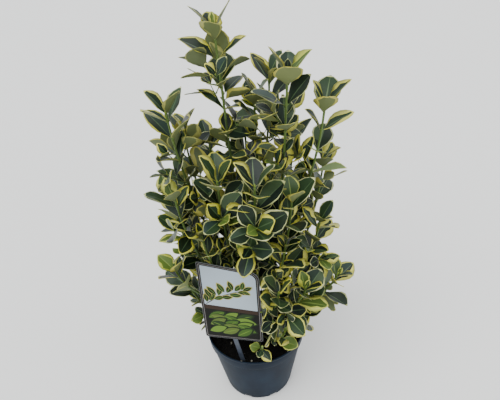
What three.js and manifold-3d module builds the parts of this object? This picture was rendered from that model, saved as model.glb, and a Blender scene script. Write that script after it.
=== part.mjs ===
// A bushy evergreen shrub with leathery, yellow-margined oval leaves, in a plastic nursery pot.
// Millimetres, Z up. The origin is the centre of the pot's flat underside, X runs to the right
// and Y away from the side that carries the picture card.
// The shrub is grown by a seeded rule: a short trunk, boughs, and on each bough's tip a few
// shoots with opposite pairs of leaves. Every shoot, with its leaves and side twigs, is one solid.
import * as THREE from "three";
import { mergeVertices } from "three/addons/utils/BufferGeometryUtils.js";
import Module from "manifold-3d";

const wasm = await Module();
wasm.setup();

// Driving dimensions
const GAP = 0.3;                  // clearance between neighbouring solids
const ROUND_SEGMENTS = 36;        // sides of the pot and of the soil

const POT = {
  height: 128,
  rimRadius: 85,
  footRadius: 61,
  wall: 1.6,
  floor: 2.4,
  collarHeight: 20,
  collarStep: 2.4,
  heel: 4,
  drainCount: 8,
  drainWidth: 13,
  drainHeight: 6
};
const SOIL_LEVEL = 112;           // height of the soil over the underside of the pot
const SOIL_ROUGHNESS = 1.1;       // rise and fall of the soil's surface
const TRUNK_SEAT = 16;            // radius of the level soil under the trunk

const TRUNK = { top: 158, radius: 8.5, flare: 4.5, flareHeight: 9, sides: 12 };
const BOUGH = { baseRadius: 4.2, tipRadius: 3.6, sides: 6, steps: 6, low: 132, high: 142 };
const SHOOT = { baseRadius: 1.8, tipRadius: 1.3, sides: 3, steps: 8, ring: 2.3, trunkHeight: 120 };
const TWIG_RADIUS = 0.9;
const TWIG_BUD = 1.6;              // length of a twig past its last pair of leaves
const LEAF_THICKNESS = 1.1;

// The card leans on nothing: a strap holds it from behind and goes down into the soil.
// Its left edge is taller than its right one, and its upper right corner is the roundest.
const CARD = {
  width: 97,
  leftHeight: 164,
  rightHeight: 148,
  thickness: 1,
  corner: 4,
  roundCorner: 16,
  x: -36.2,
  y: -62.4,
  z: 244,
  yaw: -17
};
const STAKE = { width: 8, thickness: 1.6, bottomX: -19.5, bottomZ: 80, topX: -42, topZ: 200 };

// Colours and finishes
const MATERIALS = {
  pot: new THREE.MeshStandardMaterial({ color: 0x46566a, roughness: 0.55, metalness: 0 }),
  soil: new THREE.MeshStandardMaterial({ color: 0x17120f, roughness: 0.95, metalness: 0 }),
  bark: new THREE.MeshStandardMaterial({ color: 0x6a6250, roughness: 0.85, metalness: 0 }),
  foliage: new THREE.MeshStandardMaterial({ color: 0x4c6337, roughness: 0.5, metalness: 0 }),
  card: new THREE.MeshStandardMaterial({ color: 0x8795a0, roughness: 0.3, metalness: 0 }),
  strap: new THREE.MeshStandardMaterial({ color: 0x3a3f4c, roughness: 0.5, metalness: 0 })
};

// The boughs: direction in degrees from X, reach and height of the tip, start on the trunk.
const BOUGHS = [
  { name: "centre", azimuth: 35, reach: 5, tip: 222, start: TRUNK.top },
  { name: "front", azimuth: -88, reach: 38, tip: 196, start: BOUGH.low },
  { name: "front_left", azimuth: -138, reach: 40, tip: 204, start: BOUGH.high },
  { name: "left", azimuth: 178, reach: 44, tip: 204, start: BOUGH.low },
  { name: "back_left", azimuth: 132, reach: 44, tip: 206, start: BOUGH.high },
  { name: "back", azimuth: 88, reach: 44, tip: 206, start: BOUGH.low },
  { name: "back_right", azimuth: 44, reach: 44, tip: 206, start: BOUGH.high },
  { name: "right", azimuth: 0, reach: 46, tip: 204, start: BOUGH.low },
  { name: "front_right", azimuth: -44, reach: 42, tip: 200, start: BOUGH.high }
];

// The shoots: the limb that carries it, its tip, the direction that its top pair of leaves
// faces, the size of its leaves, the bare share of its stem, and its top pair (0 is a bud).
const SHOOTS = [
  { name: "tall_left", on: "centre", tip: [-25, 20, 650], turn: 86, size: 1.08, bare: 0.24, top: 0 },
  { name: "tall_right", on: "centre", tip: [64, -12, 596], turn: 95, size: 1.12, bare: 0.24, top: 0 },
  { name: "inner", on: "centre", tip: [4, -16, 404], turn: 60, size: 0.95, bare: 0.2, top: 1 },
  { name: "centre_front", on: "front", tip: [12, -78, 470], turn: 92, size: 1.15, bare: 0.15, top: 1 },
  { name: "front_middle", on: "front", tip: [50, -74, 362], turn: 40, size: 0.95, bare: 0.2, top: 1 },
  { name: "front_low", on: "front", tip: [36, -108, 306], turn: 81, size: 0.95, bare: 0.2, top: 1 },
  { name: "left_front", on: "front_left", tip: [-38, -40, 456], turn: 84, size: 1.12, bare: 0.2, top: 1 },
  { name: "left_inner", on: "front_left", tip: [-68, -50, 374], turn: 30, size: 0.95, bare: 0.25, top: 1 },
  { name: "left_rosette", on: "front_left", tip: [-114, -50, 314], turn: 50, size: 0.9, bare: 0.3, top: 0 },
  { name: "far_left", on: "left", tip: [-97, -10, 550], turn: 50, size: 1.08, bare: 0.2, top: 1 },
  { name: "left_edge", on: "left", tip: [-98, -44, 434], turn: 10, size: 1, bare: 0.25, top: 1 },
  { name: "left_edge_low", on: "left", tip: [-108, 8, 374], turn: 60, size: 0.95, bare: 0.25, top: 1 },
  { name: "left_back", on: "back_left", tip: [-84, 44, 492], turn: 100, size: 0.95, bare: 0.2, top: 1 },
  { name: "back_left", on: "back_left", tip: [-52, 100, 440], turn: 30, size: 1, bare: 0.22, top: 1 },
  { name: "left_back_edge", on: "back_left", tip: [-120, 54, 372], turn: 10, size: 0.95, bare: 0.25, top: 1 },
  { name: "centre_back", on: "back", tip: [22, 44, 540], turn: 95, size: 1, bare: 0.28, top: 1 },
  { name: "back_middle", on: "back", tip: [6, 116, 452], turn: 72, size: 1, bare: 0.22, top: 1 },
  { name: "back_inner", on: "back", tip: [-22, 66, 350], turn: 20, size: 0.95, bare: 0.2, top: 1 },
  { name: "right_back", on: "back_right", tip: [46, 80, 556], turn: 120, size: 1, bare: 0.28, top: 1 },
  { name: "back_right", on: "back_right", tip: [82, 108, 436], turn: 20, size: 1, bare: 0.22, top: 1 },
  { name: "right_inner", on: "back_right", tip: [84, 34, 338], turn: 70, size: 0.95, bare: 0.2, top: 1 },
  { name: "far_right", on: "right", tip: [114, -4, 544], turn: 77, size: 1.08, bare: 0.2, top: 1 },
  { name: "right_edge_low", on: "right", tip: [104, -36, 372], turn: 124, size: 0.95, bare: 0.25, top: 1 },
  { name: "right_back_edge", on: "right", tip: [124, 58, 420], turn: 70, size: 0.95, bare: 0.22, top: 1 },
  { name: "right_front", on: "front_right", tip: [62, -54, 424], turn: 20, size: 1.05, bare: 0.2, top: 1 },
  { name: "right_rosette", on: "front_right", tip: [76, -100, 305], turn: 62, size: 0.95, bare: 0.22, top: 0 },
  { name: "far_right_low", on: "front_right", tip: [128, -64, 292], turn: 35, size: 0.9, bare: 0.4, top: 0 },
  { name: "foot_right", on: "trunk", tip: [80, -70, 228], turn: 30, size: 0.8, bare: 0.3, top: 0 },
  { name: "foot_front", on: "trunk", tip: [44, -92, 206], turn: 70, size: 0.72, bare: 0.25, top: 0 },
  { name: "foot_small", on: "trunk", tip: [8, -92, 176], turn: 20, size: 0.6, bare: 0.35, top: 0 },
  { name: "foot_front_left", on: "trunk", tip: [-58, -40, 222], turn: 60, size: 0.75, bare: 0.3, top: 0 },
  { name: "foot_left", on: "trunk", tip: [-104, -10, 240], turn: 20, size: 0.8, bare: 0.25, top: 0 },
  { name: "foot_left_inner", on: "trunk", tip: [-66, 24, 300], turn: 50, size: 0.85, bare: 0.2, top: 0 },
  { name: "foot_back_left", on: "trunk", tip: [-78, 72, 262], turn: 57, size: 0.85, bare: 0.25, top: 0 },
  { name: "foot_back", on: "trunk", tip: [10, 104, 270], turn: 0, size: 0.85, bare: 0.25, top: 0 },
  { name: "foot_back_right", on: "trunk", tip: [98, 56, 255], turn: 100, size: 0.85, bare: 0.25, top: 0 }
];

// Pairs of leaves counted from the tip: length in mm, angle off the stem in degrees,
// and the distance down the stem from the pair above.
const LEAF_LENGTH = [18, 42, 50, 51, 50, 48, 46, 44, 42, 40, 38, 36, 34, 32];
const LEAF_ANGLE = [14, 30, 41, 47, 52, 56, 59, 62, 65, 67, 69, 71, 73, 75];
const LEAF_SPACING = [0, 6, 12, 27, 33, 35, 36, 36, 36, 35, 34, 34, 34, 34];
const TWIG_LENGTH = [22, 32];
const TWIG_ANGLE = [20, 45];
const TWIG_DROP = [0, 6];

// What a leaf tries in turn when its place is taken: degrees nearer the stem, share of its
// length, degrees round the stem.
const TRIES = [
  [0, 1, 0],
  [12, 1, 0],
  [0, 0.86, 20],
  [0, 0.86, -20],
  [20, 0.8, 0],
  [0, 0.68, 35],
  [0, 0.68, -35],
  [22, 0.62, 0],
  [10, 0.5, 0],
  [30, 0.45, 15]
];

// A shoot keeps the space that is nearer to it than to any other, and near its tip it claims
// some more, as the leaves there are the largest.
const CLAIM = 16;
const CLAIM_LENGTH = 120;
const CELL_MARGIN = 1.8;
const LEAF_SPACE = 4;
const STEM_CLEARANCE = 4;
const BOUGH_CLEARANCE = 6;
const TRUNK_CLEARANCE = 2;
const SOIL_CLEARANCE = 5;
const CARD_CLEARANCE = 4;
const STAKE_CLEARANCE = 9;

const UP = new THREE.Vector3(0, 0, 1);
const radians = THREE.MathUtils.degToRad;

// Seeded numbers from 0 to 1
function seeded(seed) {
  let state = seed >>> 0;
  return () => {
    state = (state + 0x6d2b79f5) >>> 0;
    let t = Math.imul(state ^ (state >>> 15), state | 1);
    t = (t + Math.imul(t ^ (t >>> 7), t | 61)) ^ t;
    return ((t ^ (t >>> 14)) >>> 0) / 4294967296;
  };
}

function level(azimuth) {
  return new THREE.Vector3(Math.cos(radians(azimuth)), Math.sin(radians(azimuth)), 0);
}

// Mixes directions: along(base, [direction, amount], ...)
function along(base, ...steps) {
  const point = base.clone();
  for (const [direction, amount] of steps) point.addScaledVector(direction, amount);
  return point;
}

function solid(geometry) {
  const bare = geometry.clone();
  bare.deleteAttribute("normal");
  bare.deleteAttribute("uv");
  const merged = mergeVertices(bare);
  const mesh = new wasm.Mesh({
    numProp: 3,
    vertProperties: Float32Array.from(merged.attributes.position.array),
    triVerts: Uint32Array.from(merged.index.array)
  });
  return new wasm.Manifold(mesh);
}

function geometryOf(manifold) {
  const mesh = manifold.getMesh();
  const geometry = new THREE.BufferGeometry();
  geometry.setAttribute("position", new THREE.BufferAttribute(mesh.vertProperties, 3));
  geometry.setIndex(new THREE.BufferAttribute(mesh.triVerts, 1));
  geometry.computeVertexNormals();
  return geometry;
}

// A solid of revolution about Z from [radius, height] pairs that start and end on the axis
function turned(profile) {
  const points = profile.map(([radius, height]) => new THREE.Vector2(radius, height));
  const geometry = new THREE.LatheGeometry(points, ROUND_SEGMENTS);
  geometry.rotateX(Math.PI / 2);
  return geometry;
}

// A tapered rod bent along a line of points: the cylinder's own X and Z go across the line.
// Its two end faces look along it, or along the directions given in ends.
function rod(points, baseRadius, tipRadius, sides, side, ends = {}) {
  const steps = points.length - 1;
  const geometry = new THREE.CylinderGeometry(1, 1, 1, sides, steps);
  const position = geometry.attributes.position;
  for (let i = 0; i < position.count; i += 1) {
    const ring = Math.round((position.getY(i) + 0.5) * steps);
    const before = points[Math.max(ring - 1, 0)];
    const after = points[Math.min(ring + 1, steps)];
    let tangent = after.clone().sub(before).normalize();
    if (ring === 0 && ends.start) tangent = ends.start;
    if (ring === steps && ends.end) tangent = ends.end;
    const across = along(side, [tangent, -side.dot(tangent)]).normalize();
    const third = across.clone().cross(tangent);
    const radius = THREE.MathUtils.lerp(baseRadius, tipRadius, ring / steps);
    const place = along(
      points[ring],
      [across, position.getX(i) * radius],
      [third, position.getZ(i) * radius]
    );
    position.setXYZ(i, place.x, place.y, place.z);
  }
  return geometry;
}

function sideOf(start, end) {
  const side = UP.clone().cross(end.clone().sub(start));
  if (side.length() < 1) side.set(0, 1, 0);
  return side.normalize();
}

// The pot: a tapered wall with a stepped collar at the rim, a flat floor and drain slots
function wallRadius(height) {
  const share = (height - POT.heel) / (POT.height - POT.collarHeight - POT.heel);
  return THREE.MathUtils.lerp(POT.footRadius, POT.rimRadius - POT.collarStep - 2, share);
}

function potSolid() {
  const collar = POT.height - POT.collarHeight;
  const rim = POT.rimRadius;
  const outer = [
    [0, 0],
    [POT.footRadius - POT.heel, 0],
    [POT.footRadius - 1.2, 1.2],
    [POT.footRadius, POT.heel],
    [wallRadius(collar), collar],
    [wallRadius(collar) + POT.collarStep, collar + 1.2],
    [rim - 0.9, POT.height - 2.4],
    [rim, POT.height - 2],
    [rim, POT.height]
  ];
  const inner = [
    [rim - 0.9 - POT.wall, POT.height],
    [wallRadius(collar) + POT.collarStep - POT.wall, collar + 1],
    [wallRadius(collar) - POT.wall, collar - 1],
    [POT.footRadius - POT.wall, POT.heel + 1.6],
    [POT.footRadius - POT.heel - 0.6, POT.floor],
    [0, POT.floor]
  ];
  let pot = solid(turned([...outer, ...inner]));
  for (let i = 0; i < POT.drainCount; i += 1) {
    const slot = new THREE.BoxGeometry(12, POT.drainWidth, POT.drainHeight);
    slot.translate(POT.footRadius - 2, 0, POT.drainHeight / 2 - 1);
    slot.rotateZ((2 * Math.PI * (i + 0.5)) / POT.drainCount);
    pot = pot.subtract(solid(slot));
  }
  return geometryOf(pot);
}

// The soil fills the pot a gap away from the wall. Its top rises and falls a little, but is
// level under the trunk and along the wall, and it has a slit for the strap.
function soilSolid() {
  const collar = POT.height - POT.collarHeight;
  const top = wallRadius(collar) + POT.collarStep - POT.wall - GAP;
  const rings = [72, 62, 51, 39, 27, TRUNK_SEAT, 0];
  const body = [
    [0, POT.floor + GAP],
    [POT.footRadius - POT.heel - 1.4, POT.floor + GAP],
    [POT.footRadius - POT.wall - GAP - 0.2, POT.heel + 2],
    [wallRadius(collar) - POT.wall - GAP, collar - 1],
    [top, collar + 1.4],
    [top, SOIL_LEVEL]
  ];
  const geometry = turned([...body, ...rings.map((radius) => [radius, SOIL_LEVEL])]);
  const position = geometry.attributes.position;
  for (let i = 0; i < position.count; i += 1) {
    const x = position.getX(i);
    const y = position.getY(i);
    const radius = Math.hypot(x, y);
    const loose = radius > TRUNK_SEAT + 1 && radius < top - 1 && position.getZ(i) > SOIL_LEVEL - 1;
    if (!loose) continue;
    const wave = Math.sin(x * 0.11 + 1) * Math.cos(y * 0.13) + 0.6 * Math.sin(x * 0.23 - y * 0.19);
    position.setZ(i, SOIL_LEVEL + SOIL_ROUGHNESS * wave);
  }
  const slit = stakeGeometry(2 * GAP);
  return geometryOf(solid(geometry).subtract(solid(slit)));
}

// The trunk flares to the soil and ends in a flat top that carries the centre bough.
function trunkRadius(height) {
  const over = Math.max(height - SOIL_LEVEL, 0);
  return TRUNK.radius + TRUNK.flare * Math.exp(-over / TRUNK.flareHeight);
}

function trunkSolid() {
  const foot = SOIL_LEVEL + GAP;
  const heights = [foot, foot + 3, foot + 7, foot + 12, foot + 20, foot + 32, TRUNK.top];
  const profile = heights.map((height) => new THREE.Vector2(trunkRadius(height), height));
  const points = [new THREE.Vector2(0, foot), ...profile, new THREE.Vector2(0, TRUNK.top)];
  const geometry = new THREE.LatheGeometry(points, TRUNK.sides);
  geometry.rotateX(Math.PI / 2);
  return geometryOf(solid(geometry));
}

// Each bough leaves the trunk level, turns upwards and ends in a flat, level tip.
function boughPoints(bough) {
  const out = level(bough.azimuth);
  const tip = along(new THREE.Vector3(0, 0, bough.tip), [out, bough.reach]);
  if (bough.name === "centre") {
    const start = new THREE.Vector3(0, 0, bough.start + GAP);
    const curve = new THREE.CubicBezierCurve3(
      start,
      along(start, [UP, 25]),
      along(tip, [UP, -20]),
      tip
    );
    return curve.getPoints(BOUGH.steps);
  }
  const clear = trunkRadius(bough.start - BOUGH.baseRadius) + GAP;
  const start = along(new THREE.Vector3(0, 0, bough.start), [out, clear]);
  const curve = new THREE.CubicBezierCurve3(
    start,
    along(start, [out, 20]),
    along(tip, [UP, -34]),
    tip
  );
  return curve.getPoints(BOUGH.steps);
}

const boughPaths = new Map(BOUGHS.map((bough) => [bough.name, boughPoints(bough)]));

function boughSolid(bough) {
  const points = boughPaths.get(bough.name);
  const side = sideOf(points[0], points[points.length - 1]);
  const ends = { start: bough.name === "centre" ? UP : level(bough.azimuth), end: UP };
  return geometryOf(solid(rod(points, BOUGH.baseRadius, BOUGH.tipRadius, BOUGH.sides, side, ends)));
}

// The shoots of one bough stand in an even ring on its tip. The one that leans most stands on
// its own side, and the others take the free places nearest to their directions in turn.
function ringPlaces(bough) {
  const end = boughPaths.get(bough.name).at(-1);
  const members = SHOOTS.filter((shoot) => shoot.on === bough.name).map((shoot) => {
    const away = new THREE.Vector2(shoot.tip[0] - end.x, shoot.tip[1] - end.y);
    return { name: shoot.name, angle: away.angle(), lean: away.length() / (shoot.tip[2] - end.z) };
  });
  members.sort((a, b) => b.lean - a.lean);
  const free = members.map((_, i) => members[0].angle + (2 * Math.PI * i) / members.length);
  return members.map((member) => {
    const fits = free.map((angle) => Math.cos(angle - member.angle));
    const [place] = free.splice(fits.indexOf(Math.max(...fits)), 1);
    return [member.name, place];
  });
}

const places = new Map(BOUGHS.flatMap(ringPlaces));

function shootPoints(shoot) {
  const tip = new THREE.Vector3(...shoot.tip);
  if (shoot.on === "trunk") {
    const out = new THREE.Vector3(tip.x, tip.y, 0).normalize();
    const clear = trunkRadius(SHOOT.trunkHeight - SHOOT.baseRadius) + GAP;
    const start = along(new THREE.Vector3(0, 0, SHOOT.trunkHeight), [out, clear]);
    const length = tip.distanceTo(start);
    const arrive = along(UP, [out, 0.35]).normalize();
    const curve = new THREE.CubicBezierCurve3(
      start,
      along(start, [out, length * 0.3], [UP, length * 0.08]),
      along(tip, [arrive, -length * 0.4]),
      tip
    );
    return curve.getPoints(SHOOT.steps);
  }
  const angle = places.get(shoot.name);
  const ringSide = new THREE.Vector3(Math.cos(angle), Math.sin(angle), 0);
  const start = along(boughPaths.get(shoot.on).at(-1), [ringSide, SHOOT.ring], [UP, GAP]);
  const rise = tip.clone().sub(start);
  const length = rise.length();
  const out = new THREE.Vector3(rise.x, rise.y, 0);
  const lean = out.length() / rise.z;
  out.normalize();
  const leave = along(UP, [out, Math.min(1.3, 1.25 * lean)], [ringSide, 0.22]).normalize();
  const arrive = along(UP, [out, Math.min(0.5, 0.03 + 0.22 * lean)]).normalize();
  const curve = new THREE.CubicBezierCurve3(
    start,
    along(start, [leave, length * 0.36]),
    along(tip, [arrive, -length * 0.38]),
    tip
  );
  return curve.getPoints(SHOOT.steps);
}

// A line of points with the length run up to each of them
function measured(points) {
  const run = [0];
  for (let i = 1; i < points.length; i += 1) {
    run.push(run[i - 1] + points[i].distanceTo(points[i - 1]));
  }
  return { points, run, length: run[run.length - 1] };
}

const shootLines = SHOOTS.map((shoot) => measured(shootPoints(shoot)));
const boughLines = BOUGHS.map((bough) => measured(boughPaths.get(bough.name)));

function pointAt(line, distance) {
  let i = 0;
  while (i < line.points.length - 2 && line.run[i + 1] <= distance) i += 1;
  const start = line.points[i];
  const end = line.points[i + 1];
  const share = (distance - line.run[i]) / (line.run[i + 1] - line.run[i]);
  const tangent = end.clone().sub(start).normalize();
  return { point: start.clone().lerp(end, share), tangent };
}

// Distance from a point to a line, less what the line claims near its end
function distanceTo(point, line, claim) {
  let nearest = Infinity;
  for (let i = 0; i < line.points.length - 1; i += 1) {
    const a = line.points[i];
    const b = line.points[i + 1];
    const dx = b.x - a.x;
    const dy = b.y - a.y;
    const dz = b.z - a.z;
    const px = point.x - a.x;
    const py = point.y - a.y;
    const pz = point.z - a.z;
    const raw = (px * dx + py * dy + pz * dz) / (dx * dx + dy * dy + dz * dz);
    const t = Math.min(Math.max(raw, 0), 1);
    const away = Math.hypot(px - t * dx, py - t * dy, pz - t * dz);
    const run = line.run[i] + t * (line.run[i + 1] - line.run[i]);
    const share = Math.max(1 - (line.length - run) / CLAIM_LENGTH, 0);
    nearest = Math.min(nearest, away - claim * share);
  }
  return nearest;
}

const cardSide = level(CARD.yaw);
const cardBack = level(CARD.yaw + 90);
const cardCentre = new THREE.Vector3(CARD.x, CARD.y, CARD.z);

function blockedByPot(point) {
  const radius = Math.hypot(point.x, point.y);
  if (radius < POT.rimRadius + 5 && point.z < SOIL_LEVEL + SOIL_CLEARANCE) return true;
  const overRim = radius > POT.rimRadius - 11 && radius < POT.rimRadius + 7;
  if (overRim && point.z < POT.height + 3) return true;
  return radius >= POT.rimRadius + 5 && point.z < 95;
}

// Half the card's height at a distance to the right of its middle
function cardHalfHeight(across) {
  const share = across / CARD.width + 0.5;
  return THREE.MathUtils.lerp(CARD.leftHeight, CARD.rightHeight, share) / 2;
}

function blockedByCard(point) {
  const offset = point.clone().sub(cardCentre);
  const sideways = Math.abs(offset.dot(cardSide));
  const behind = offset.dot(cardBack);
  const half = cardHalfHeight(offset.dot(cardSide));
  const beside = sideways < CARD.width / 2 + CARD_CLEARANCE;
  if (beside && Math.abs(offset.z) < half + CARD_CLEARANCE && behind < CARD_CLEARANCE) return true;
  return offset.z <= -half && sideways < STAKE_CLEARANCE && Math.abs(behind) < STAKE_CLEARANCE;
}

const trunkLine = measured([
  new THREE.Vector3(0, 0, SOIL_LEVEL),
  new THREE.Vector3(0, 0, TRUNK.top)
]);

// True if every point keeps to the space of shoot number own
function keepsClear(own, points, margin) {
  for (const point of points) {
    if (blockedByPot(point) || blockedByCard(point)) return false;
    if (distanceTo(point, trunkLine, 0) < TRUNK.radius + TRUNK_CLEARANCE) return false;
    for (const line of boughLines) {
      if (distanceTo(point, line, 0) < BOUGH_CLEARANCE) return false;
    }
    const mine = distanceTo(point, shootLines[own], CLAIM);
    for (let i = 0; i < shootLines.length; i += 1) {
      if (i === own) continue;
      if (distanceTo(point, shootLines[i], CLAIM) - mine < margin) return false;
      if (distanceTo(point, shootLines[i], 0) < STEM_CLEARANCE) return false;
    }
  }
  return true;
}

// A leaf starts at the stem's axis. Its blade is folded up along the midrib and bends back
// towards its tip. The outline runs from the root up the right edge and down the left one.
function makeLeaf(root, tangent, azimuth, angle, length, widthShare, random) {
  const flat = level(azimuth);
  const radial = along(flat, [tangent, -flat.dot(tangent)]).normalize();
  const lean = radians(angle);
  const axis = along(new THREE.Vector3(), [tangent, Math.cos(lean)], [radial, Math.sin(lean)]);
  const face = along(new THREE.Vector3(), [tangent, Math.sin(lean)], [radial, -Math.cos(lean)]);
  const roll = (random() - 0.5) * 0.5;
  const rolled = along(
    new THREE.Vector3(),
    [face, Math.cos(roll)],
    [axis.clone().cross(face), Math.sin(roll)]
  );
  const width = length * widthShare * (0.92 + 0.2 * random());
  const bend = 0.02 + 0.16 * random();
  const fold = radians(6 + 16 * random());
  return { root, axis, face: rolled, length, width, bend, fold };
}

function leafPoint(leaf, share, widthShare) {
  const side = leaf.axis.clone().cross(leaf.face);
  const across = leaf.width * widthShare;
  return along(
    leaf.root,
    [leaf.axis, leaf.length * share],
    [leaf.face, -leaf.length * leaf.bend * share * share],
    [side, across * Math.cos(leaf.fold)],
    [leaf.face, Math.abs(across) * Math.sin(leaf.fold)]
  );
}

const OUTLINE = [[0.4, 0.92], [0.76, 0.84], [1, 0], [0.76, -0.84], [0.4, -0.92]];
const PLAIN_OUTLINE = [[0.56, 1], [1, 0], [0.56, -1]];

function leafOutline(leaf, outline) {
  return outline.map(([share, widthShare]) => leafPoint(leaf, share, widthShare));
}

// The points that are tested: the outline, the middle of each of its edges, and the midrib
function leafProbes(leaf) {
  const corners = [...leafOutline(leaf, OUTLINE), leafPoint(leaf, 0.5, 0)];
  const middles = corners.map((corner, i) => {
    const next = corners[(i + 1) % corners.length];
    return corner.clone().lerp(next, 0.5);
  });
  return [...corners, ...middles];
}

// The leaf's solid: its upper face is a fan round a point over the midrib, and its lower
// face is folded along the line from root to tip.
function leafSolid(leaf) {
  const outline = leaf.plain ? PLAIN_OUTLINE : OUTLINE;
  const ring = [leaf.root, ...leafOutline(leaf, outline)];
  const rib = along(leafPoint(leaf, 0.3, 0), [leaf.face, LEAF_THICKNESS]);
  const points = [...ring, rib];
  const tip = ring.length / 2;
  const upper = ring.flatMap((_, i) => [i, (i + 1) % ring.length, ring.length]);
  const lower = [];
  for (let i = 0; i + 1 < tip; i += 1) lower.push(i + 1, i, tip);
  for (let i = tip + 1; i < ring.length; i += 1) lower.push((i + 1) % ring.length, i, tip);
  const faces = [...upper, ...lower];
  const geometry = new THREE.BufferGeometry().setFromPoints(points);
  geometry.setIndex(faces);
  return solid(geometry);
}

// True if a leaf's probes stay off the leaves that the mass already has
function offOthers(probes, leaves) {
  return leaves.every((leaf) =>
    leaf.probes.every((taken) => probes.every((probe) => probe.distanceTo(taken) > LEAF_SPACE))
  );
}

// One leaf at its place, or null where none of the tries keeps clear
function placeLeaf(own, leaves, root, tangent, azimuth, angle, length, widthShare, seed) {
  for (const [closer, share, turn] of TRIES) {
    const tried = Math.max(8, angle - closer);
    const leaf = makeLeaf(root, tangent, azimuth + turn, tried, length * share, widthShare, seeded(seed));
    const probes = leafProbes(leaf);
    if (offOthers(probes, leaves) && keepsClear(own, probes, CELL_MARGIN)) return { ...leaf, probes };
  }
  return null;
}

// Opposite pairs, each turned a quarter from the next, from the tip down to the bare stem
function growPairs(own) {
  const shoot = SHOOTS[own];
  const line = shootLines[own];
  const random = seeded(1000 + 17 * own);
  const last = LEAF_LENGTH.length - 1;
  const leaves = [];
  const nodes = [];
  let distance = line.length - 1;
  for (let pair = shoot.top; ; pair += 1) {
    const row = Math.min(pair, last);
    if (pair > shoot.top) {
      distance -= LEAF_SPACING[row] * (0.9 + 0.2 * random()) * (0.75 + 0.25 * shoot.size);
    }
    if (distance < line.length * shoot.bare || distance < 12) break;
    const { point, tangent } = pointAt(line, distance);
    const azimuth = shoot.turn + 90 * pair + (random() - 0.5) * 22;
    nodes.push({ point, tangent, pair, azimuth });
    for (const side of [0, 180]) {
      const length = LEAF_LENGTH[row] * shoot.size * (0.9 + 0.2 * random());
      const angle = LEAF_ANGLE[row] * (0.88 + 0.24 * random());
      const seed = Math.floor(1e6 * random());
      const widthShare = pair > 0 ? 0.31 : 0.26;
      const leaf = placeLeaf(own, leaves, point, tangent, azimuth + side, angle, length, widthShare, seed);
      if (leaf) leaves.push({ ...leaf, plain: pair > 3 });
    }
  }
  return { leaves, nodes };
}

// Short side twigs from the leaf pairs lower down, each with two small pairs
function growTwigs(own, nodes, taken) {
  const shoot = SHOOTS[own];
  const random = seeded(5000 + 31 * own);
  const twigs = [];
  for (const { point, tangent, pair, azimuth } of nodes) {
    for (const side of [0, 180]) {
      if (pair < 4 || random() > 0.5) continue;
      const length = 24 + 22 * random();
      const lean = radians(40 + 16 * random());
      const flat = level(azimuth + side + (random() - 0.5) * 30);
      const radial = along(flat, [tangent, -flat.dot(tangent)]).normalize();
      const first = along(new THREE.Vector3(), [tangent, Math.cos(lean)], [radial, Math.sin(lean)]);
      const direction = along(first, [UP, 0.25]).normalize();
      const end = along(point, [direction, length]);
      const middle = point.clone().lerp(end, 0.5);
      if (!keepsClear(own, [middle, end], CELL_MARGIN + TWIG_RADIUS)) continue;
      const leaves = growTwigLeaves(own, taken, point, direction, length, random);
      if (leaves.length < 2) continue;
      twigs.push({ start: point, end, leaves });
      taken.push(...leaves);
    }
  }
  return twigs;
}

function growTwigLeaves(own, taken, start, direction, length, random) {
  const shoot = SHOOTS[own];
  const inner = seeded(Math.floor(1e6 * random()));
  const leaves = [];
  for (let row = 0; row < TWIG_LENGTH.length; row += 1) {
    if (length - TWIG_DROP[row] < 12) continue;
    const root = along(start, [direction, length - TWIG_DROP[row]]);
    for (const side of [0, 180]) {
      const azimuth = shoot.turn + 45 + 90 * row + side + (inner() - 0.5) * 30;
      const angle = TWIG_ANGLE[row] * (0.85 + 0.3 * inner());
      const size = TWIG_LENGTH[row] * shoot.size * (0.9 + 0.25 * inner());
      const seed = Math.floor(1e6 * inner());
      const leaf = makeLeaf(root, direction, azimuth, angle, size, 0.3, seeded(seed));
      const probes = leafProbes(leaf);
      const free = offOthers(probes, [...taken, ...leaves]) && keepsClear(own, probes, CELL_MARGIN);
      if (free) leaves.push({ ...leaf, probes, plain: true });
    }
  }
  return leaves;
}

// One mass of foliage: the shoot's stem with its side twigs and all leaves fused on
function foliageSolid(own) {
  const { points } = shootLines[own];
  const side = sideOf(points[0], points[points.length - 1]);
  const out = new THREE.Vector3(points[0].x, points[0].y, 0).normalize();
  const ends = { start: SHOOTS[own].on === "trunk" ? out : UP };
  let mass = solid(rod(points, SHOOT.baseRadius, SHOOT.tipRadius, SHOOT.sides, side, ends));
  const { leaves, nodes } = growPairs(own);
  const twigs = growTwigs(own, nodes, [...leaves]);
  for (const twig of twigs) {
    const past = twig.end.clone().sub(twig.start).normalize();
    const line = [twig.start, along(twig.end, [past, TWIG_BUD])];
    const twigSide = sideOf(twig.start, twig.end);
    mass = mass.add(solid(rod(line, TWIG_RADIUS, TWIG_RADIUS * 0.7, SHOOT.sides, twigSide)));
    for (const leaf of twig.leaves) mass = mass.add(leafSolid(leaf));
  }
  for (const leaf of leaves) mass = mass.add(leafSolid(leaf));
  return geometryOf(mass);
}

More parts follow.
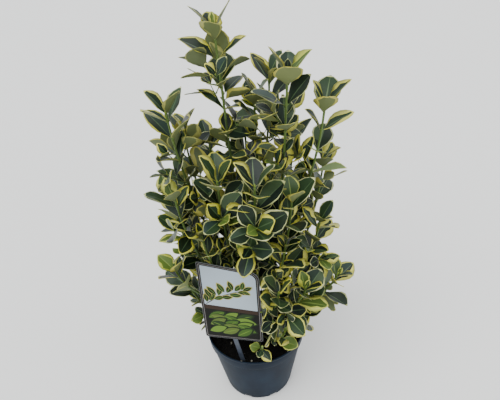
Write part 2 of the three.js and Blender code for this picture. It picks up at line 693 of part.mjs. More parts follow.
// The picture card: a thin plate with round corners, standing upright. Each corner is the
// curve that leaves one edge and meets the next, as far from the corner as its radius.
function cardGeometry() {
  const x = CARD.width / 2;
  const left = CARD.leftHeight / 2;
  const right = CARD.rightHeight / 2;
  const corners = [
    [x, right, CARD.roundCorner],
    [-x, left, CARD.corner],
    [-x, -left, CARD.corner],
    [x, -right, CARD.corner]
  ];
  const shape = new THREE.Shape();
  corners.forEach(([cornerX, cornerY, radius], i) => {
    const corner = new THREE.Vector2(cornerX, cornerY);
    const before = new THREE.Vector2(...corners[(i + 3) % 4]).sub(corner).setLength(radius).add(corner);
    const after = new THREE.Vector2(...corners[(i + 1) % 4]).sub(corner).setLength(radius).add(corner);
    if (i === 0) shape.moveTo(before.x, before.y);
    else shape.lineTo(before.x, before.y);
    shape.quadraticCurveTo(corner.x, corner.y, after.x, after.y);
  });
  const geometry = new THREE.ExtrudeGeometry(shape, {
    depth: CARD.thickness,
    bevelEnabled: false,
    curveSegments: 4
  });
  geometry.translate(0, 0, -CARD.thickness / 2);
  geometry.rotateX(Math.PI / 2);
  return geometry;
}

// The strap leans to the left behind the card. Extra is added to its width and thickness.
function stakeGeometry(extra) {
  const rise = STAKE.topZ - STAKE.bottomZ;
  const shift = STAKE.topX - STAKE.bottomX;
  const length = Math.hypot(rise, shift) + extra;
  const geometry = new THREE.BoxGeometry(STAKE.width + extra, STAKE.thickness + extra, length);
  geometry.rotateY(Math.atan2(shift, rise));
  const middleX = (STAKE.topX + STAKE.bottomX) / 2 - CARD.x;
  const behind = (CARD.thickness + STAKE.thickness) / 2 + GAP;
  geometry.translate(middleX, behind, (STAKE.topZ + STAKE.bottomZ) / 2);
  geometry.rotateZ(radians(CARD.yaw));
  geometry.translate(CARD.x, CARD.y, 0);
  return geometry;
}

function named(name, geometry, material) {
  const mesh = new THREE.Mesh(geometry, material);
  mesh.name = name;
  return mesh;
}

const plant = new THREE.Group();
plant.add(named("pot", potSolid(), MATERIALS.pot));
plant.add(named("soil", soilSolid(), MATERIALS.soil));
plant.add(named("trunk", trunkSolid(), MATERIALS.bark));
for (const bough of BOUGHS) {
  plant.add(named(`bough_${bough.name}`, boughSolid(bough), MATERIALS.bark));
}
SHOOTS.forEach((shoot, own) => {
  plant.add(named(`foliage_${shoot.name}`, foliageSolid(own), MATERIALS.foliage));
});

const card = named("picture_card", cardGeometry(), MATERIALS.card);
card.position.copy(cardCentre);
card.rotation.z = radians(CARD.yaw);
plant.add(card);
plant.add(named("card_stake", stakeGeometry(0), MATERIALS.strap));

export default plant;
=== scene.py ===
# %% [markdown]
# # A variegated shrub in a nursery pot
# The object is a young evergreen shrub with leathery oval leaves, dark green with a yellow
# margin, growing in a tapered plastic pot with a picture card on a strap. The solids of the
# part carry its main shapes. This script dresses them: it grows the same shoots by the same
# seeded rule, gives every leaf a curved blade with coloured zones, adds finer twigs in
# between, and remakes bark, soil, pot and card as finished surfaces.

# %% Tools and the fixed frame
import math
from collections import namedtuple
from itertools import combinations

import bpy
import numpy as np
from mathutils import Matrix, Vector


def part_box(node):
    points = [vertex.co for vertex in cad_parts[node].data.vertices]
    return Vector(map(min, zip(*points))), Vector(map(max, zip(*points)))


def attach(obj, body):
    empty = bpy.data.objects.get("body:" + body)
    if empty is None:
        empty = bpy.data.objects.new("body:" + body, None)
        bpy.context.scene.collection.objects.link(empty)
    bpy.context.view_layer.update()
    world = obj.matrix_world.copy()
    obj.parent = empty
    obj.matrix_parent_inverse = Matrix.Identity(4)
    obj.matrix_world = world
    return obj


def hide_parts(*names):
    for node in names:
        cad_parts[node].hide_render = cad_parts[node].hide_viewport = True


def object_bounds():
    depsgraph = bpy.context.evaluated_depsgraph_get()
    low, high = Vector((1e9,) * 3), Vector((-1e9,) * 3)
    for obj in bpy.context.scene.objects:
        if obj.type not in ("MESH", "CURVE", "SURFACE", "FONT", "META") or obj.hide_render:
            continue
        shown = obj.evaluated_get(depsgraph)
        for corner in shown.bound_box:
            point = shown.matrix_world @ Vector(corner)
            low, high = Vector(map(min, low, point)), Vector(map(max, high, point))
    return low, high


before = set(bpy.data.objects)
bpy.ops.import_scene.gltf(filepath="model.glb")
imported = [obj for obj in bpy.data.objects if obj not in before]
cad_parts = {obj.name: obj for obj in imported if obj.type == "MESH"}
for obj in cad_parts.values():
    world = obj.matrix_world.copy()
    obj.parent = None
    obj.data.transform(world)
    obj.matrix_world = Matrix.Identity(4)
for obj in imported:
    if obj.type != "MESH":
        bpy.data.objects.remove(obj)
SOLID_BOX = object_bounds()
MM = 0.001
SOLID_LOW, SOLID_HIGH = np.array(SOLID_BOX) / MM
print(len(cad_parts), "solids, box in mm:", SOLID_LOW.round(1), SOLID_HIGH.round(1))

# %% [markdown]
# ## Measures from the frame
# The pot is round and stands on its flat underside, so its box gives rim and height, and the
# trunk's box gives the level of the soil. Everything below works in millimetres and is
# scaled to metres only when a mesh is made, which keeps the numbers readable.

# %% Measures in millimetres
# Neighbouring solids keep this gap
GAP = 0.3
UP = np.array([0.0, 0.0, 1.0])


def box_mm(node):
    """Lowest and highest corner of a solid of the frame, in millimetres."""
    low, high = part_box(node)
    return np.array(low) / MM, np.array(high) / MM


RIM_RADIUS = box_mm("pot")[1][0]
POT_HEIGHT = box_mm("pot")[1][2]
TRUNK_TOP = box_mm("trunk")[1][2]
SOIL_LEVEL = round(box_mm("trunk")[0][2] - GAP, 2)
print(f"rim radius {RIM_RADIUS:.1f}, pot height {POT_HEIGHT:.1f}")
print(f"soil at {SOIL_LEVEL:.1f}, trunk up to {TRUNK_TOP:.1f}")

# %% [markdown]
# ## Seeded numbers and directions
# A plant looks natural when no two leaves are alike, but the script has to give the same
# plant each time. A small generator of seeded numbers does both. It is the generator of the
# part's source, so both grow the same leaves.

# %% Seeded numbers
KEPT_BITS = 0xFFFFFFFF
STATE_STEP = 0x6D2B79F5


def seeded(seed):
    """A function that gives numbers from 0 to 1. The state grows by a fixed step, and each
    number mixes its bits with shifts and products, all kept to 32 bits."""
    state = [seed]

    def number():
        state[0] = (state[0] + STATE_STEP) & KEPT_BITS
        mixed = ((state[0] ^ (state[0] >> 15)) * (state[0] | 1)) & KEPT_BITS
        product = ((mixed ^ (mixed >> 7)) * (mixed | 61)) & KEPT_BITS
        mixed = ((mixed + product) & KEPT_BITS) ^ mixed
        return ((mixed ^ (mixed >> 14)) & KEPT_BITS) / (KEPT_BITS + 1)

    return number


def drawn_seed(random):
    """A seed for another generator: a whole number under a million, drawn from this one."""
    return int(1e6 * random())


print("first number of seed 1:", round(seeded(1)(), 4))


# %% Directions and curves
def unit(vector):
    """The vector divided by its length."""
    return vector / np.linalg.norm(vector)


def level(azimuth):
    """The level direction at so many degrees from X towards Y."""
    angle = math.radians(azimuth)
    return np.array([math.cos(angle), math.sin(angle), 0.0])


def square_to(vector, tangent):
    """The part of the vector that is square to the tangent, as a unit vector."""
    return unit(vector - np.dot(vector, tangent) * tangent)


def bezier(a, b, c, d, steps):
    """Points (1-t)^3 a + 3 (1-t)^2 t b + 3 (1-t) t^2 c + t^3 d at even steps of t."""
    t = np.linspace(0, 1, steps + 1)[:, None]
    return (1 - t) ** 3 * a + 3 * (1 - t) ** 2 * t * b + 3 * (1 - t) * t**2 * c + t**3 * d


print("level direction at 90 degrees:", level(90).round(3))

# %% [markdown]
# ## Trunk, boughs and shoots
# The shrub forks low down. Nine boughs leave the short trunk, and upright shoots stand on
# their tips. Each limb could be drawn freely, but then it would leave its solid. So each is
# a cubic curve from its place on the limb below to its tip, as in the source.

# %% The limbs' sizes
TRUNK_RADIUS = 8.5
TRUNK_FLARE = 4.5
FLARE_HEIGHT = 9
LOW_BOUGH = 132
HIGH_BOUGH = 142
BOUGH_BASE = 4.2
BOUGH_TIP = 3.6
BOUGH_STEPS = 6
SHOOT_BASE = 1.8
SHOOT_STEPS = 8
# Distance of the shoots from the middle of their bough's tip, and height of those on the trunk
SHOOT_RING = 2.3
FOOT_SHOOT_HEIGHT = 120
# How far the curves' inner control points stand from the start and from the tip: in
# millimetres for boughs, as shares of the length for shoots
CENTRE_HANDLES = (25, 20)
BOUGH_HANDLES = (20, 34)
FOOT_HANDLES = (0.3, 0.4)
SHOOT_HANDLES = (0.36, 0.38)

# %% The boughs and shoots
# Name: azimuth, reach and height of the tip, start on the trunk
BOUGHS = {
    "centre": (35, 5, 222, TRUNK_TOP),
    "front": (-88, 38, 196, LOW_BOUGH),
    "front_left": (-138, 40, 204, HIGH_BOUGH),
    "left": (178, 44, 204, LOW_BOUGH),
    "back_left": (132, 44, 206, HIGH_BOUGH),
    "back": (88, 44, 206, LOW_BOUGH),
    "back_right": (44, 44, 206, HIGH_BOUGH),
    "right": (0, 46, 204, LOW_BOUGH),
    "front_right": (-44, 42, 200, HIGH_BOUGH),
}

# The limb that carries it, its tip, the direction of its top pair, the size of its leaves,
# the bare share of its stem, and its first pair (0 is a bud)
Shoot = namedtuple("Shoot", "name limb tip turn size bare first")
SHOOTS = [Shoot(*row) for row in (
    ("tall_left", "centre", (-25, 20, 650), 86, 1.08, 0.24, 0),
    ("tall_right", "centre", (64, -12, 596), 95, 1.12, 0.24, 0),
    ("inner", "centre", (4, -16, 404), 60, 0.95, 0.2, 1),
    ("centre_front", "front", (12, -78, 470), 92, 1.15, 0.15, 1),
    ("front_middle", "front", (50, -74, 362), 40, 0.95, 0.2, 1),
    ("front_low", "front", (36, -108, 306), 81, 0.95, 0.2, 1),
    ("left_front", "front_left", (-38, -40, 456), 84, 1.12, 0.2, 1),
    ("left_inner", "front_left", (-68, -50, 374), 30, 0.95, 0.25, 1),
    ("left_rosette", "front_left", (-114, -50, 314), 50, 0.9, 0.3, 0),
    ("far_left", "left", (-97, -10, 550), 50, 1.08, 0.2, 1),
    ("left_edge", "left", (-98, -44, 434), 10, 1, 0.25, 1),
    ("left_edge_low", "left", (-108, 8, 374), 60, 0.95, 0.25, 1),
    ("left_back", "back_left", (-84, 44, 492), 100, 0.95, 0.2, 1),
    ("back_left", "back_left", (-52, 100, 440), 30, 1, 0.22, 1),
    ("left_back_edge", "back_left", (-120, 54, 372), 10, 0.95, 0.25, 1),
    ("centre_back", "back", (22, 44, 540), 95, 1, 0.28, 1),
    ("back_middle", "back", (6, 116, 452), 72, 1, 0.22, 1),
    ("back_inner", "back", (-22, 66, 350), 20, 0.95, 0.2, 1),
    ("right_back", "back_right", (46, 80, 556), 120, 1, 0.28, 1),
    ("back_right", "back_right", (82, 108, 436), 20, 1, 0.22, 1),
    ("right_inner", "back_right", (84, 34, 338), 70, 0.95, 0.2, 1),
    ("far_right", "right", (114, -4, 544), 77, 1.08, 0.2, 1),
    ("right_edge_low", "right", (104, -36, 372), 124, 0.95, 0.25, 1),
    ("right_back_edge", "right", (124, 58, 420), 70, 0.95, 0.22, 1),
    ("right_front", "front_right", (62, -54, 424), 20, 1.05, 0.2, 1),
    ("right_rosette", "front_right", (76, -100, 305), 62, 0.95, 0.22, 0),
    ("far_right_low", "front_right", (128, -64, 292), 35, 0.9, 0.4, 0),
    ("foot_right", "trunk", (80, -70, 228), 30, 0.8, 0.3, 0),
    ("foot_front", "trunk", (44, -92, 206), 70, 0.72, 0.25, 0),
    ("foot_small", "trunk", (8, -92, 176), 20, 0.6, 0.35, 0),
    ("foot_front_left", "trunk", (-58, -40, 222), 60, 0.75, 0.3, 0),
    ("foot_left", "trunk", (-104, -10, 240), 20, 0.8, 0.25, 0),
    ("foot_left_inner", "trunk", (-66, 24, 300), 50, 0.85, 0.2, 0),
    ("foot_back_left", "trunk", (-78, 72, 262), 57, 0.85, 0.25, 0),
    ("foot_back", "trunk", (10, 104, 270), 0, 0.85, 0.25, 0),
    ("foot_back_right", "trunk", (98, 56, 255), 100, 0.85, 0.25, 0),
)]
print(len(BOUGHS), "boughs,", len(SHOOTS), "shoots")


# %% The boughs' paths
def trunk_radius(height):
    """Radius of the trunk: 8.5 + 4.5 exp(-height over the soil / 9)."""
    return TRUNK_RADIUS + TRUNK_FLARE * np.exp(-np.maximum(height - SOIL_LEVEL, 0) / FLARE_HEIGHT)


def bough_path(name):
    """A cubic curve from the trunk's side level outwards, and up to the tip. The centre bough
    rises from the trunk's top."""
    azimuth, reach, top, start_height = BOUGHS[name]
    out = level(azimuth)
    tip = top * UP + out * reach
    if name == "centre":
        start = (start_height + GAP) * UP
        leave, arrive = CENTRE_HANDLES
        return bezier(start, start + leave * UP, tip - arrive * UP, tip, BOUGH_STEPS)
    start = start_height * UP + out * (trunk_radius(start_height - BOUGH_BASE) + GAP)
    leave, arrive = BOUGH_HANDLES
    return bezier(start, start + leave * out, tip - arrive * UP, tip, BOUGH_STEPS)


bough_paths = {name: bough_path(name) for name in BOUGHS}
print("bough tips at", sorted({int(path[-1][2]) for path in bough_paths.values()}))


# %% The shoots' places on their boughs
def ring_places(bough):
    """The angle of each shoot round its bough's tip: even places, the one that leans most
    on its own side, and the others in turn in the free place nearest to their direction."""
    end = bough_paths[bough][-1]
    members = []
    for shoot in SHOOTS:
        if shoot.limb == bough:
            away = shoot.tip - end
            angle = math.atan2(away[1], away[0]) % (2 * math.pi)
            members.append((shoot.name, angle, np.hypot(away[0], away[1]) / away[2]))
    members.sort(key=lambda member: -member[2])
    free = [members[0][1] + 2 * math.pi * i / len(members) for i in range(len(members))]
    places = {}
    for name, angle, _ in members:
        nearness = [math.cos(place - angle) for place in free]
        places[name] = free.pop(int(np.argmax(nearness)))
    return places


PLACES = {name: place for bough in BOUGHS for name, place in ring_places(bough).items()}
print(len(PLACES), "shoots stand on boughs")


# %% The shoots' paths
def foot_shoot_path(tip):
    """A cubic curve from the trunk's side, that leaves outwards and a little up, and arrives
    at the tip along UP + 0.35 out."""
    out = unit(np.array([tip[0], tip[1], 0.0]))
    start = FOOT_SHOOT_HEIGHT * UP + out * (trunk_radius(FOOT_SHOOT_HEIGHT - SHOOT_BASE) + GAP)
    length = np.linalg.norm(tip - start)
    leave, arrive = FOOT_HANDLES
    first = start + out * length * leave + UP * length * 0.08
    return bezier(start, first, tip - unit(UP + 0.35 * out) * length * arrive, tip, SHOOT_STEPS)


def shoot_path(shoot):
    """A cubic curve from the bough's tip to the shoot's own. It leaves along
    UP + out min(1.3, 1.25 lean) + 0.22 side and arrives along UP + out min(0.5, 0.03 + 0.22
    lean), where lean is the way aside over the rise, and side its place round the bough."""
    tip = np.array(shoot.tip, float)
    if shoot.limb == "trunk":
        return foot_shoot_path(tip)
    angle = PLACES[shoot.name]
    side = np.array([math.cos(angle), math.sin(angle), 0.0])
    start = bough_paths[shoot.limb][-1] + side * SHOOT_RING + UP * GAP
    rise = tip - start
    length = np.linalg.norm(rise)
    lean = np.hypot(rise[0], rise[1]) / rise[2]
    out = unit(np.array([rise[0], rise[1], 0.0]))
    first = unit(UP + out * min(1.3, 1.25 * lean) + side * 0.22)
    last = unit(UP + out * min(0.5, 0.03 + 0.22 * lean))
    leave, arrive = SHOOT_HANDLES
    first = start + first * length * leave
    last = tip - last * length * arrive
    return bezier(start, first, last, tip, SHOOT_STEPS)


print("points of a shoot's path:", len(shoot_path(SHOOTS[0])))

# %% [markdown]
# ## Keeping clear
# Leaves of neighbouring shoots mustn't grow through each other. Testing every leaf against
# every other would be slow, so each shoot owns the space that is nearer to its stem than to
# any other, and near its tip it claims a little more. Distances from a set of points to all
# stems are worked out at once as one array.

# %% Distances to all stems
# How far a shoot's claim reaches at its tip, and the length over which it grows
CLAIM = 16
CLAIM_LENGTH = 120


class Lines:
    """Several lines of points as arrays: starts and spans of their pieces, length run up."""

    def __init__(self, paths):
        self.points = np.array(paths)
        self.start = self.points[:, :-1]
        self.span = self.points[:, 1:] - self.start
        self.piece = np.linalg.norm(self.span, axis=2)
        self.run = np.cumsum(self.piece, axis=1) - self.piece
        self.length = self.piece.sum(axis=1)

    def distances(self, points, claim=0):
        """For each point and line the least distance to a piece, less the claim near the
        line's end, which grows from nothing at CLAIM_LENGTH before it to full at the end."""
        offset = points[:, None, None, :] - self.start
        share = (offset * self.span).sum(axis=3) / (self.piece**2)
        share = np.clip(share, 0, 1)
        away = np.linalg.norm(offset - share[..., None] * self.span, axis=3)
        to_end = self.length[:, None] - (self.run + share * self.piece)
        return (away - claim * np.maximum(1 - to_end / CLAIM_LENGTH, 0)).min(axis=2)

    def place(self, index, distance):
        """The point of a line at a distance from its start, and the direction there."""
        run, piece = self.run[index], self.piece[index]
        i = min(int(np.sum(run + piece <= distance)), len(piece) - 1)
        span = self.span[index][i]
        return self.start[index][i] + (distance - run[i]) / piece[i] * span, span / piece[i]


shoot_lines = Lines([shoot_path(shoot) for shoot in SHOOTS])
bough_lines = Lines(list(bough_paths.values()))
trunk_line = Lines([[SOIL_LEVEL * UP, TRUNK_TOP * UP]])
print("stems in mm:", int(shoot_lines.length.min()), "to", int(shoot_lines.length.max()))

# %% Pot and card in the way
CARD_WIDTH = 97
CARD_LEFT = 164
CARD_RIGHT = 148
CARD_YAW = -17
CARD_SIDE = level(CARD_YAW)
CARD_BACK = level(CARD_YAW + 90)
CARD_CENTRE = np.array([-36.2, -62.4, 244])
# Space that leaves keep: over the soil and beside the wall, inside the rim, outside and over
# it, the height under which nothing hangs beside the pot, and space to card and strap
OFF_SOIL = 5
OFF_RIM_INSIDE = 11
OFF_RIM_OUTSIDE = 7
OFF_RIM_ABOVE = 3
LOWEST_BESIDE = 95
OFF_CARD = 4
OFF_STRAP = 9


def in_pot_or_soil(points):
    """Points under the soil's surface, in the rim's wall, or beside the pot below its collar."""
    radius = np.hypot(points[:, 0], points[:, 1])
    height = points[:, 2]
    below = (radius < RIM_RADIUS + OFF_SOIL) & (height < SOIL_LEVEL + OFF_SOIL)
    wall = (radius > RIM_RADIUS - OFF_RIM_INSIDE) & (radius < RIM_RADIUS + OFF_RIM_OUTSIDE)
    beside = (radius >= RIM_RADIUS + OFF_SOIL) & (height < LOWEST_BESIDE)
    return below | (wall & (height < POT_HEIGHT + OFF_RIM_ABOVE)) | beside


def card_half_height(across):
    """Half the card's height, a straight line from its left edge to its right one."""
    return (CARD_LEFT + (CARD_RIGHT - CARD_LEFT) * (across / CARD_WIDTH + 0.5)) / 2


def at_card(points, over):
    """Points in front of the card or close behind it, up to so far over it, or near its strap."""
    offset = points - CARD_CENTRE
    sideways = np.abs(offset @ CARD_SIDE)
    behind = offset @ CARD_BACK
    half = card_half_height(offset @ CARD_SIDE)
    tall = (offset[:, 2] < half + over) & (offset[:, 2] > -half - OFF_CARD)
    card = (sideways < CARD_WIDTH / 2 + OFF_CARD) & tall & (behind < OFF_CARD)
    strap = (offset[:, 2] <= -half) & (sideways < OFF_STRAP) & (np.abs(behind) < OFF_STRAP)
    return card | strap


print(f"card {CARD_WIDTH} wide, {CARD_LEFT} to {CARD_RIGHT} high")

# %% What a leaf keeps clear of
# Space to the trunk's surface, to the middle of a bough and of another stem, between two
# leaves, and to the border of the shoot's own space
OFF_TRUNK = 2
OFF_BOUGH = 6
OFF_STEM = 4
LEAF_SPACE = 4
CELL_MARGIN = 1.8


def blocked(points, over_card, off_bough):
    """True if a point is in pot or soil, at the card, or too near to the trunk or a bough."""
    return bool(
        in_pot_or_soil(points).any()
        or at_card(points, over_card).any()
        or (trunk_line.distances(points) < TRUNK_RADIUS + OFF_TRUNK).any()
        or (bough_lines.distances(points) < off_bough).any()
    )


def keeps_clear(own, points, margin):
    """True if all points are in the space of shoot own, by that margin, and off every limb."""
    if blocked(points, OFF_CARD, OFF_BOUGH):
        return False
    claimed = shoot_lines.distances(points, CLAIM)
    others = np.arange(len(SHOOTS)) != own
    if (claimed[:, others] - claimed[:, [own]] < margin).any():
        return False
    return not (shoot_lines.distances(points)[:, others] < OFF_STEM).any()


tip = shoot_lines.points[0, -1:]
print("first shoot's tip in its own space:", keeps_clear(0, tip, CELL_MARGIN))

# %% [markdown]
# ## One leaf
# A leaf stands off its stem at an angle. Its blade is folded up along the midrib like an
# open book and bends back towards the tip. A full mesh could be tested for space, but these
# few values hold it all: root, axis, the way its upper face looks, length, half width, bend
# and fold. A dozen points worked out from them are enough for a test.

# %% A leaf's values
def make_leaf(root, tangent, azimuth, angle, length, width_share, random):
    """Axis = tangent cos(angle) + radial sin(angle). The face is square to it and looks up
    the stem, rolled up to a quarter radian about the axis. The half width is 0.92 to 1.12 of
    its share of the length, the bend 0.02 to 0.18 of it, and the fold 6 to 22 degrees."""
    radial = square_to(level(azimuth), tangent)
    lean = math.radians(angle)
    axis = tangent * math.cos(lean) + radial * math.sin(lean)
    face = tangent * math.sin(lean) - radial * math.cos(lean)
    roll = (random() - 0.5) * 0.5
    face = face * math.cos(roll) + np.cross(axis, face) * math.sin(roll)
    width = length * width_share * (0.92 + 0.2 * random())
    bend = 0.02 + 0.16 * random()
    fold = math.radians(6 + 16 * random())
    return dict(root=root, axis=axis, face=face, length=length, width=width, bend=bend, fold=fold)


def leaf_points(leaf, share, across):
    """Root + axis L s - face L bend s^2 + side w x cos(fold) + face |w x| sin(fold)."""
    share = np.asarray(share, float)[:, None]
    across = leaf["width"] * np.asarray(across, float)[:, None]
    side = np.cross(leaf["axis"], leaf["face"])
    sag = -leaf["length"] * leaf["bend"] * share**2
    rise = np.abs(across) * math.sin(leaf["fold"])
    along = leaf["axis"] * leaf["length"] * share
    aside = side * across * math.cos(leaf["fold"])
    return leaf["root"] + along + leaf["face"] * (sag + rise) + aside


example = make_leaf(0 * UP, UP, 0, 45, 50, 0.3, seeded(1))
print("tip of an example leaf:", leaf_points(example, [1], [0]).round(1))

# %% A leaf's test points
# The outline's corners and the midrib's middle, as shares along and across
PROBE_ALONG = (0.4, 0.76, 1, 0.76, 0.4, 0.5)
PROBE_ACROSS = (0.92, 0.84, 0, -0.84, -0.92, 0)


def leaf_probes(leaf):
    """The outline's corners, the midrib's middle, and the middles between them in turn."""
    corners = leaf_points(leaf, PROBE_ALONG, PROBE_ACROSS)
    return np.vstack([corners, (corners + np.roll(corners, -1, axis=0)) / 2])


def off_others(probes, leaves, space):
    """True if no test point is within that space of a test point of the leaves."""
    if not leaves:
        return True
    taken = np.vstack([leaf["probes"] for leaf in leaves])
    apart = np.linalg.norm(probes[:, None] - taken, axis=2)
    return bool((apart > space).all())


print("test points to a leaf:", len(leaf_probes(example)))

# %% [markdown]
# ## Growing the pairs of leaves
# The leaves stand in opposite pairs, each pair turned a quarter from the next. From the bud
# down they get longer and stand out more, then shorter again on the old wood. A formula
# could give their lengths, but tables are easier to set. Where a leaf's place is
# taken it tries to stand closer to the stem, turned, or smaller.

# %% Leaf tables, counted from the tip down
LEAF_LENGTH = (18, 42, 50, 51, 50, 48, 46, 44, 42, 40, 38, 36, 34, 32)
LEAF_ANGLE = (14, 30, 41, 47, 52, 56, 59, 62, 65, 67, 69, 71, 73, 75)
LEAF_SPACING = (0, 6, 12, 27, 33, 35, 36, 36, 36, 35, 34, 34, 34, 34)
# Half widths as shares of the length
BUD_WIDTH = 0.26
LEAF_WIDTH = 0.31
TWIG_LEAF_WIDTH = 0.3
LEAST_ANGLE = 8
# No pair stands nearer than this to the foot of its stem
LOWEST_PAIR = 12
# Degrees nearer the stem, share of the length, degrees round the stem
TRIES = [
    (0, 1, 0), (12, 1, 0), (0, 0.86, 20), (0, 0.86, -20), (20, 0.8, 0),
    (0, 0.68, 35), (0, 0.68, -35), (22, 0.62, 0), (10, 0.5, 0), (30, 0.45, 15),
]
print("leaves from", min(LEAF_LENGTH), "to", max(LEAF_LENGTH), "mm,", len(TRIES), "tries for each")


# %% Pairs along a shoot
Node = namedtuple("Node", "point tangent pair azimuth distance")


def stands(leaf, own, leaves):
    """Gives the leaf its test points. True if they keep clear of the leaves and all else."""
    leaf["probes"] = leaf_probes(leaf)
    return off_others(leaf["probes"], leaves, LEAF_SPACE) and keeps_clear(
        own, leaf["probes"], CELL_MARGIN
    )


def place_leaf(own, leaves, root, tangent, azimuth, angle, length, width, seed):
    """The first of the tries that keeps clear, or None."""
    for closer, share, turn in TRIES:
        tried = max(LEAST_ANGLE, angle - closer)
        leaf = make_leaf(
            root, tangent, azimuth + turn, tried, length * share, width, seeded(seed)
        )
        if stands(leaf, own, leaves):
            return leaf
    return None


def grow_pairs(own):
    """Leaves from the tip down, and the nodes that they stand on, with their distances along
    the stem. Spacing, length and angle vary by a tenth or so of their table's value, and the
    azimuth by 11 degrees either way."""
    shoot = SHOOTS[own]
    random = seeded(1000 + 17 * own)
    total = shoot_lines.length[own]
    leaves, nodes = [], []
    distance = total - 1
    pair = shoot.first
    while True:
        row = min(pair, len(LEAF_LENGTH) - 1)
        if pair > shoot.first:
            distance -= LEAF_SPACING[row] * (0.9 + 0.2 * random()) * (0.75 + 0.25 * shoot.size)
        if distance < max(total * shoot.bare, LOWEST_PAIR):
            return leaves, nodes
        point, tangent = shoot_lines.place(own, distance)
        azimuth = shoot.turn + 90 * pair + (random() - 0.5) * 22
        nodes.append(Node(point, tangent, pair, azimuth, distance))
        for side in (0, 180):
            length = LEAF_LENGTH[row] * shoot.size * (0.9 + 0.2 * random())
            angle = LEAF_ANGLE[row] * (0.88 + 0.24 * random())
            seed = drawn_seed(random)
            width = LEAF_WIDTH if pair > 0 else BUD_WIDTH
            leaf = place_leaf(
                own, leaves, point, tangent, azimuth + side, angle, length, width, seed
            )
            if leaf:
                leaf["pair"] = pair
                leaves.append(leaf)
        pair += 1


print("pairs along the first shoot:", len(grow_pairs(0)[1]))

# %% Side twigs, as in the source
Twig = namedtuple("Twig", "start end leaves")
FIRST_TWIG_PAIR = 4
TWIG_CHANCE = 0.5
TWIG_LIFT = 0.25
TWIG_MARGIN = 2.7
# Length of the leaves, degrees off the twig, distance from its end
TWIG_PAIRS = ((22, 20, 0), (32, 45, 6))


def twig_direction(tangent, azimuth, lean):
    """Tangent cos(lean) + radial sin(lean), lifted a little and made a unit vector."""
    radial = square_to(level(azimuth), tangent)
    return unit(tangent * math.cos(lean) + radial * math.sin(lean) + TWIG_LIFT * UP)


def twig_leaves(own, taken, start, direction, length, random):
    """Two small pairs, at the twig's end and a few millimetres before it."""
    shoot = SHOOTS[own]
    numbers = seeded(drawn_seed(random))
    leaves = []
    for row, (blade, off, drop) in enumerate(TWIG_PAIRS):
        root = start + direction * (length - drop)
        for side in (0, 180):
            azimuth = shoot.turn + 45 + 90 * row + side + (numbers() - 0.5) * 30
            angle = off * (0.85 + 0.3 * numbers())
            long = blade * shoot.size * (0.9 + 0.25 * numbers())
            inner = seeded(drawn_seed(numbers))
            leaf = make_leaf(root, direction, azimuth, angle, long, TWIG_LEAF_WIDTH, inner)
            if stands(leaf, own, [*taken, *leaves]):
                leaf["pair"] = 1 + row
                leaves.append(leaf)
    return leaves


print("twigs from pair", FIRST_TWIG_PAIR, "down, with", len(TWIG_PAIRS), "pairs each")

# %% Twigs of a shoot
def grow_twigs(own, nodes, taken):
    """Short twigs, 24 to 46 mm long, from pair 4 down, each with its leaves. A twig with fewer
    than two leaves isn't kept."""
    random = seeded(5000 + 31 * own)
    twigs = []
    for node in nodes:
        for side in (0, 180):
            if node.pair < FIRST_TWIG_PAIR or random() > TWIG_CHANCE:
                continue
            length = 24 + 22 * random()
            lean = math.radians(40 + 16 * random())
            azimuth = node.azimuth + side + (random() - 0.5) * 30
            direction = twig_direction(node.tangent, azimuth, lean)
            end = node.point + direction * length
            if not keeps_clear(own, np.array([(node.point + end) / 2, end]), TWIG_MARGIN):
                continue
            leaves = twig_leaves(own, taken, node.point, direction, length, random)
            if len(leaves) > 1:
                twigs.append(Twig(node.point, end, leaves))
                taken.extend(leaves)
    return twigs


example_leaves, example_nodes = grow_pairs(0)
print("twigs of the first shoot:", len(grow_twigs(0, example_nodes, example_leaves)))

# %% The shoots of the source
masses = []
for own, shoot in enumerate(SHOOTS):
    leaves, nodes = grow_pairs(own)
    twigs = grow_twigs(own, nodes, leaves)
    masses.append(dict(name=shoot.name, nodes=nodes, leaves=leaves, twigs=twigs))
print("leaves of the source:", sum(len(mass["leaves"]) for mass in masses))
print("twigs of the source:", sum(len(mass["twigs"]) for mass in masses))

# %% [markdown]
# ## Finer growth
# The solids stop at the larger leaves. On the plant short twigs with middling leaves fill
# the space between them. They could be scattered at random, but leaves that cut through
# each other show at once. So each is tested against a grid of points on every leaf so far,
# and a twig stays only if it finds room for at least two leaves. These tries have seeded
# numbers of their own, so the leaves above keep their places.

# %% The crowd of leaves
GRID_ALONG = (0.22, 0.42, 0.62, 0.82, 1)
GRID_WIDTH = (0.4, 0.85, 0.95, 0.75, 0)


def leaf_grid(leaf):
    """Fifteen points of a leaf: both rims and the midrib at five places along it."""
    along = np.repeat(GRID_ALONG, 3)
    across = np.repeat(GRID_WIDTH, 3) * np.tile((-1, 0, 1), 5)
    return leaf_points(leaf, along, across)


class Crowd:
    """The grids of all leaves so far, each with its centre and its reach from there."""

    def __init__(self, grids):
        self.grids = np.array(grids)
        self.measure()

    def measure(self):
        """Works out centres and reaches anew."""
        self.centres = self.grids.mean(axis=1)
        away = np.linalg.norm(self.grids - self.centres[:, None], axis=2)
        self.reaches = away.max(axis=1)

    def add(self, grids):
        """Takes in more leaves."""
        self.grids = np.concatenate([self.grids, grids])
        self.measure()

    def free(self, grid, space):
        """True if no point of the grid is within that space of a point of the crowd."""
        centre = grid.mean(axis=0)
        reach = np.linalg.norm(grid - centre, axis=1).max()
        near = np.linalg.norm(self.centres - centre, axis=1) < self.reaches + reach + space
        if not near.any():
            return True
        apart = np.linalg.norm(self.grids[near][:, :, None] - grid, axis=3)
        return bool(apart.min() > space)


crowd = Crowd([leaf_grid(leaf) for mass in masses for leaf in mass["leaves"]])
print("points in the crowd:", crowd.grids.shape[0] * crowd.grids.shape[1])

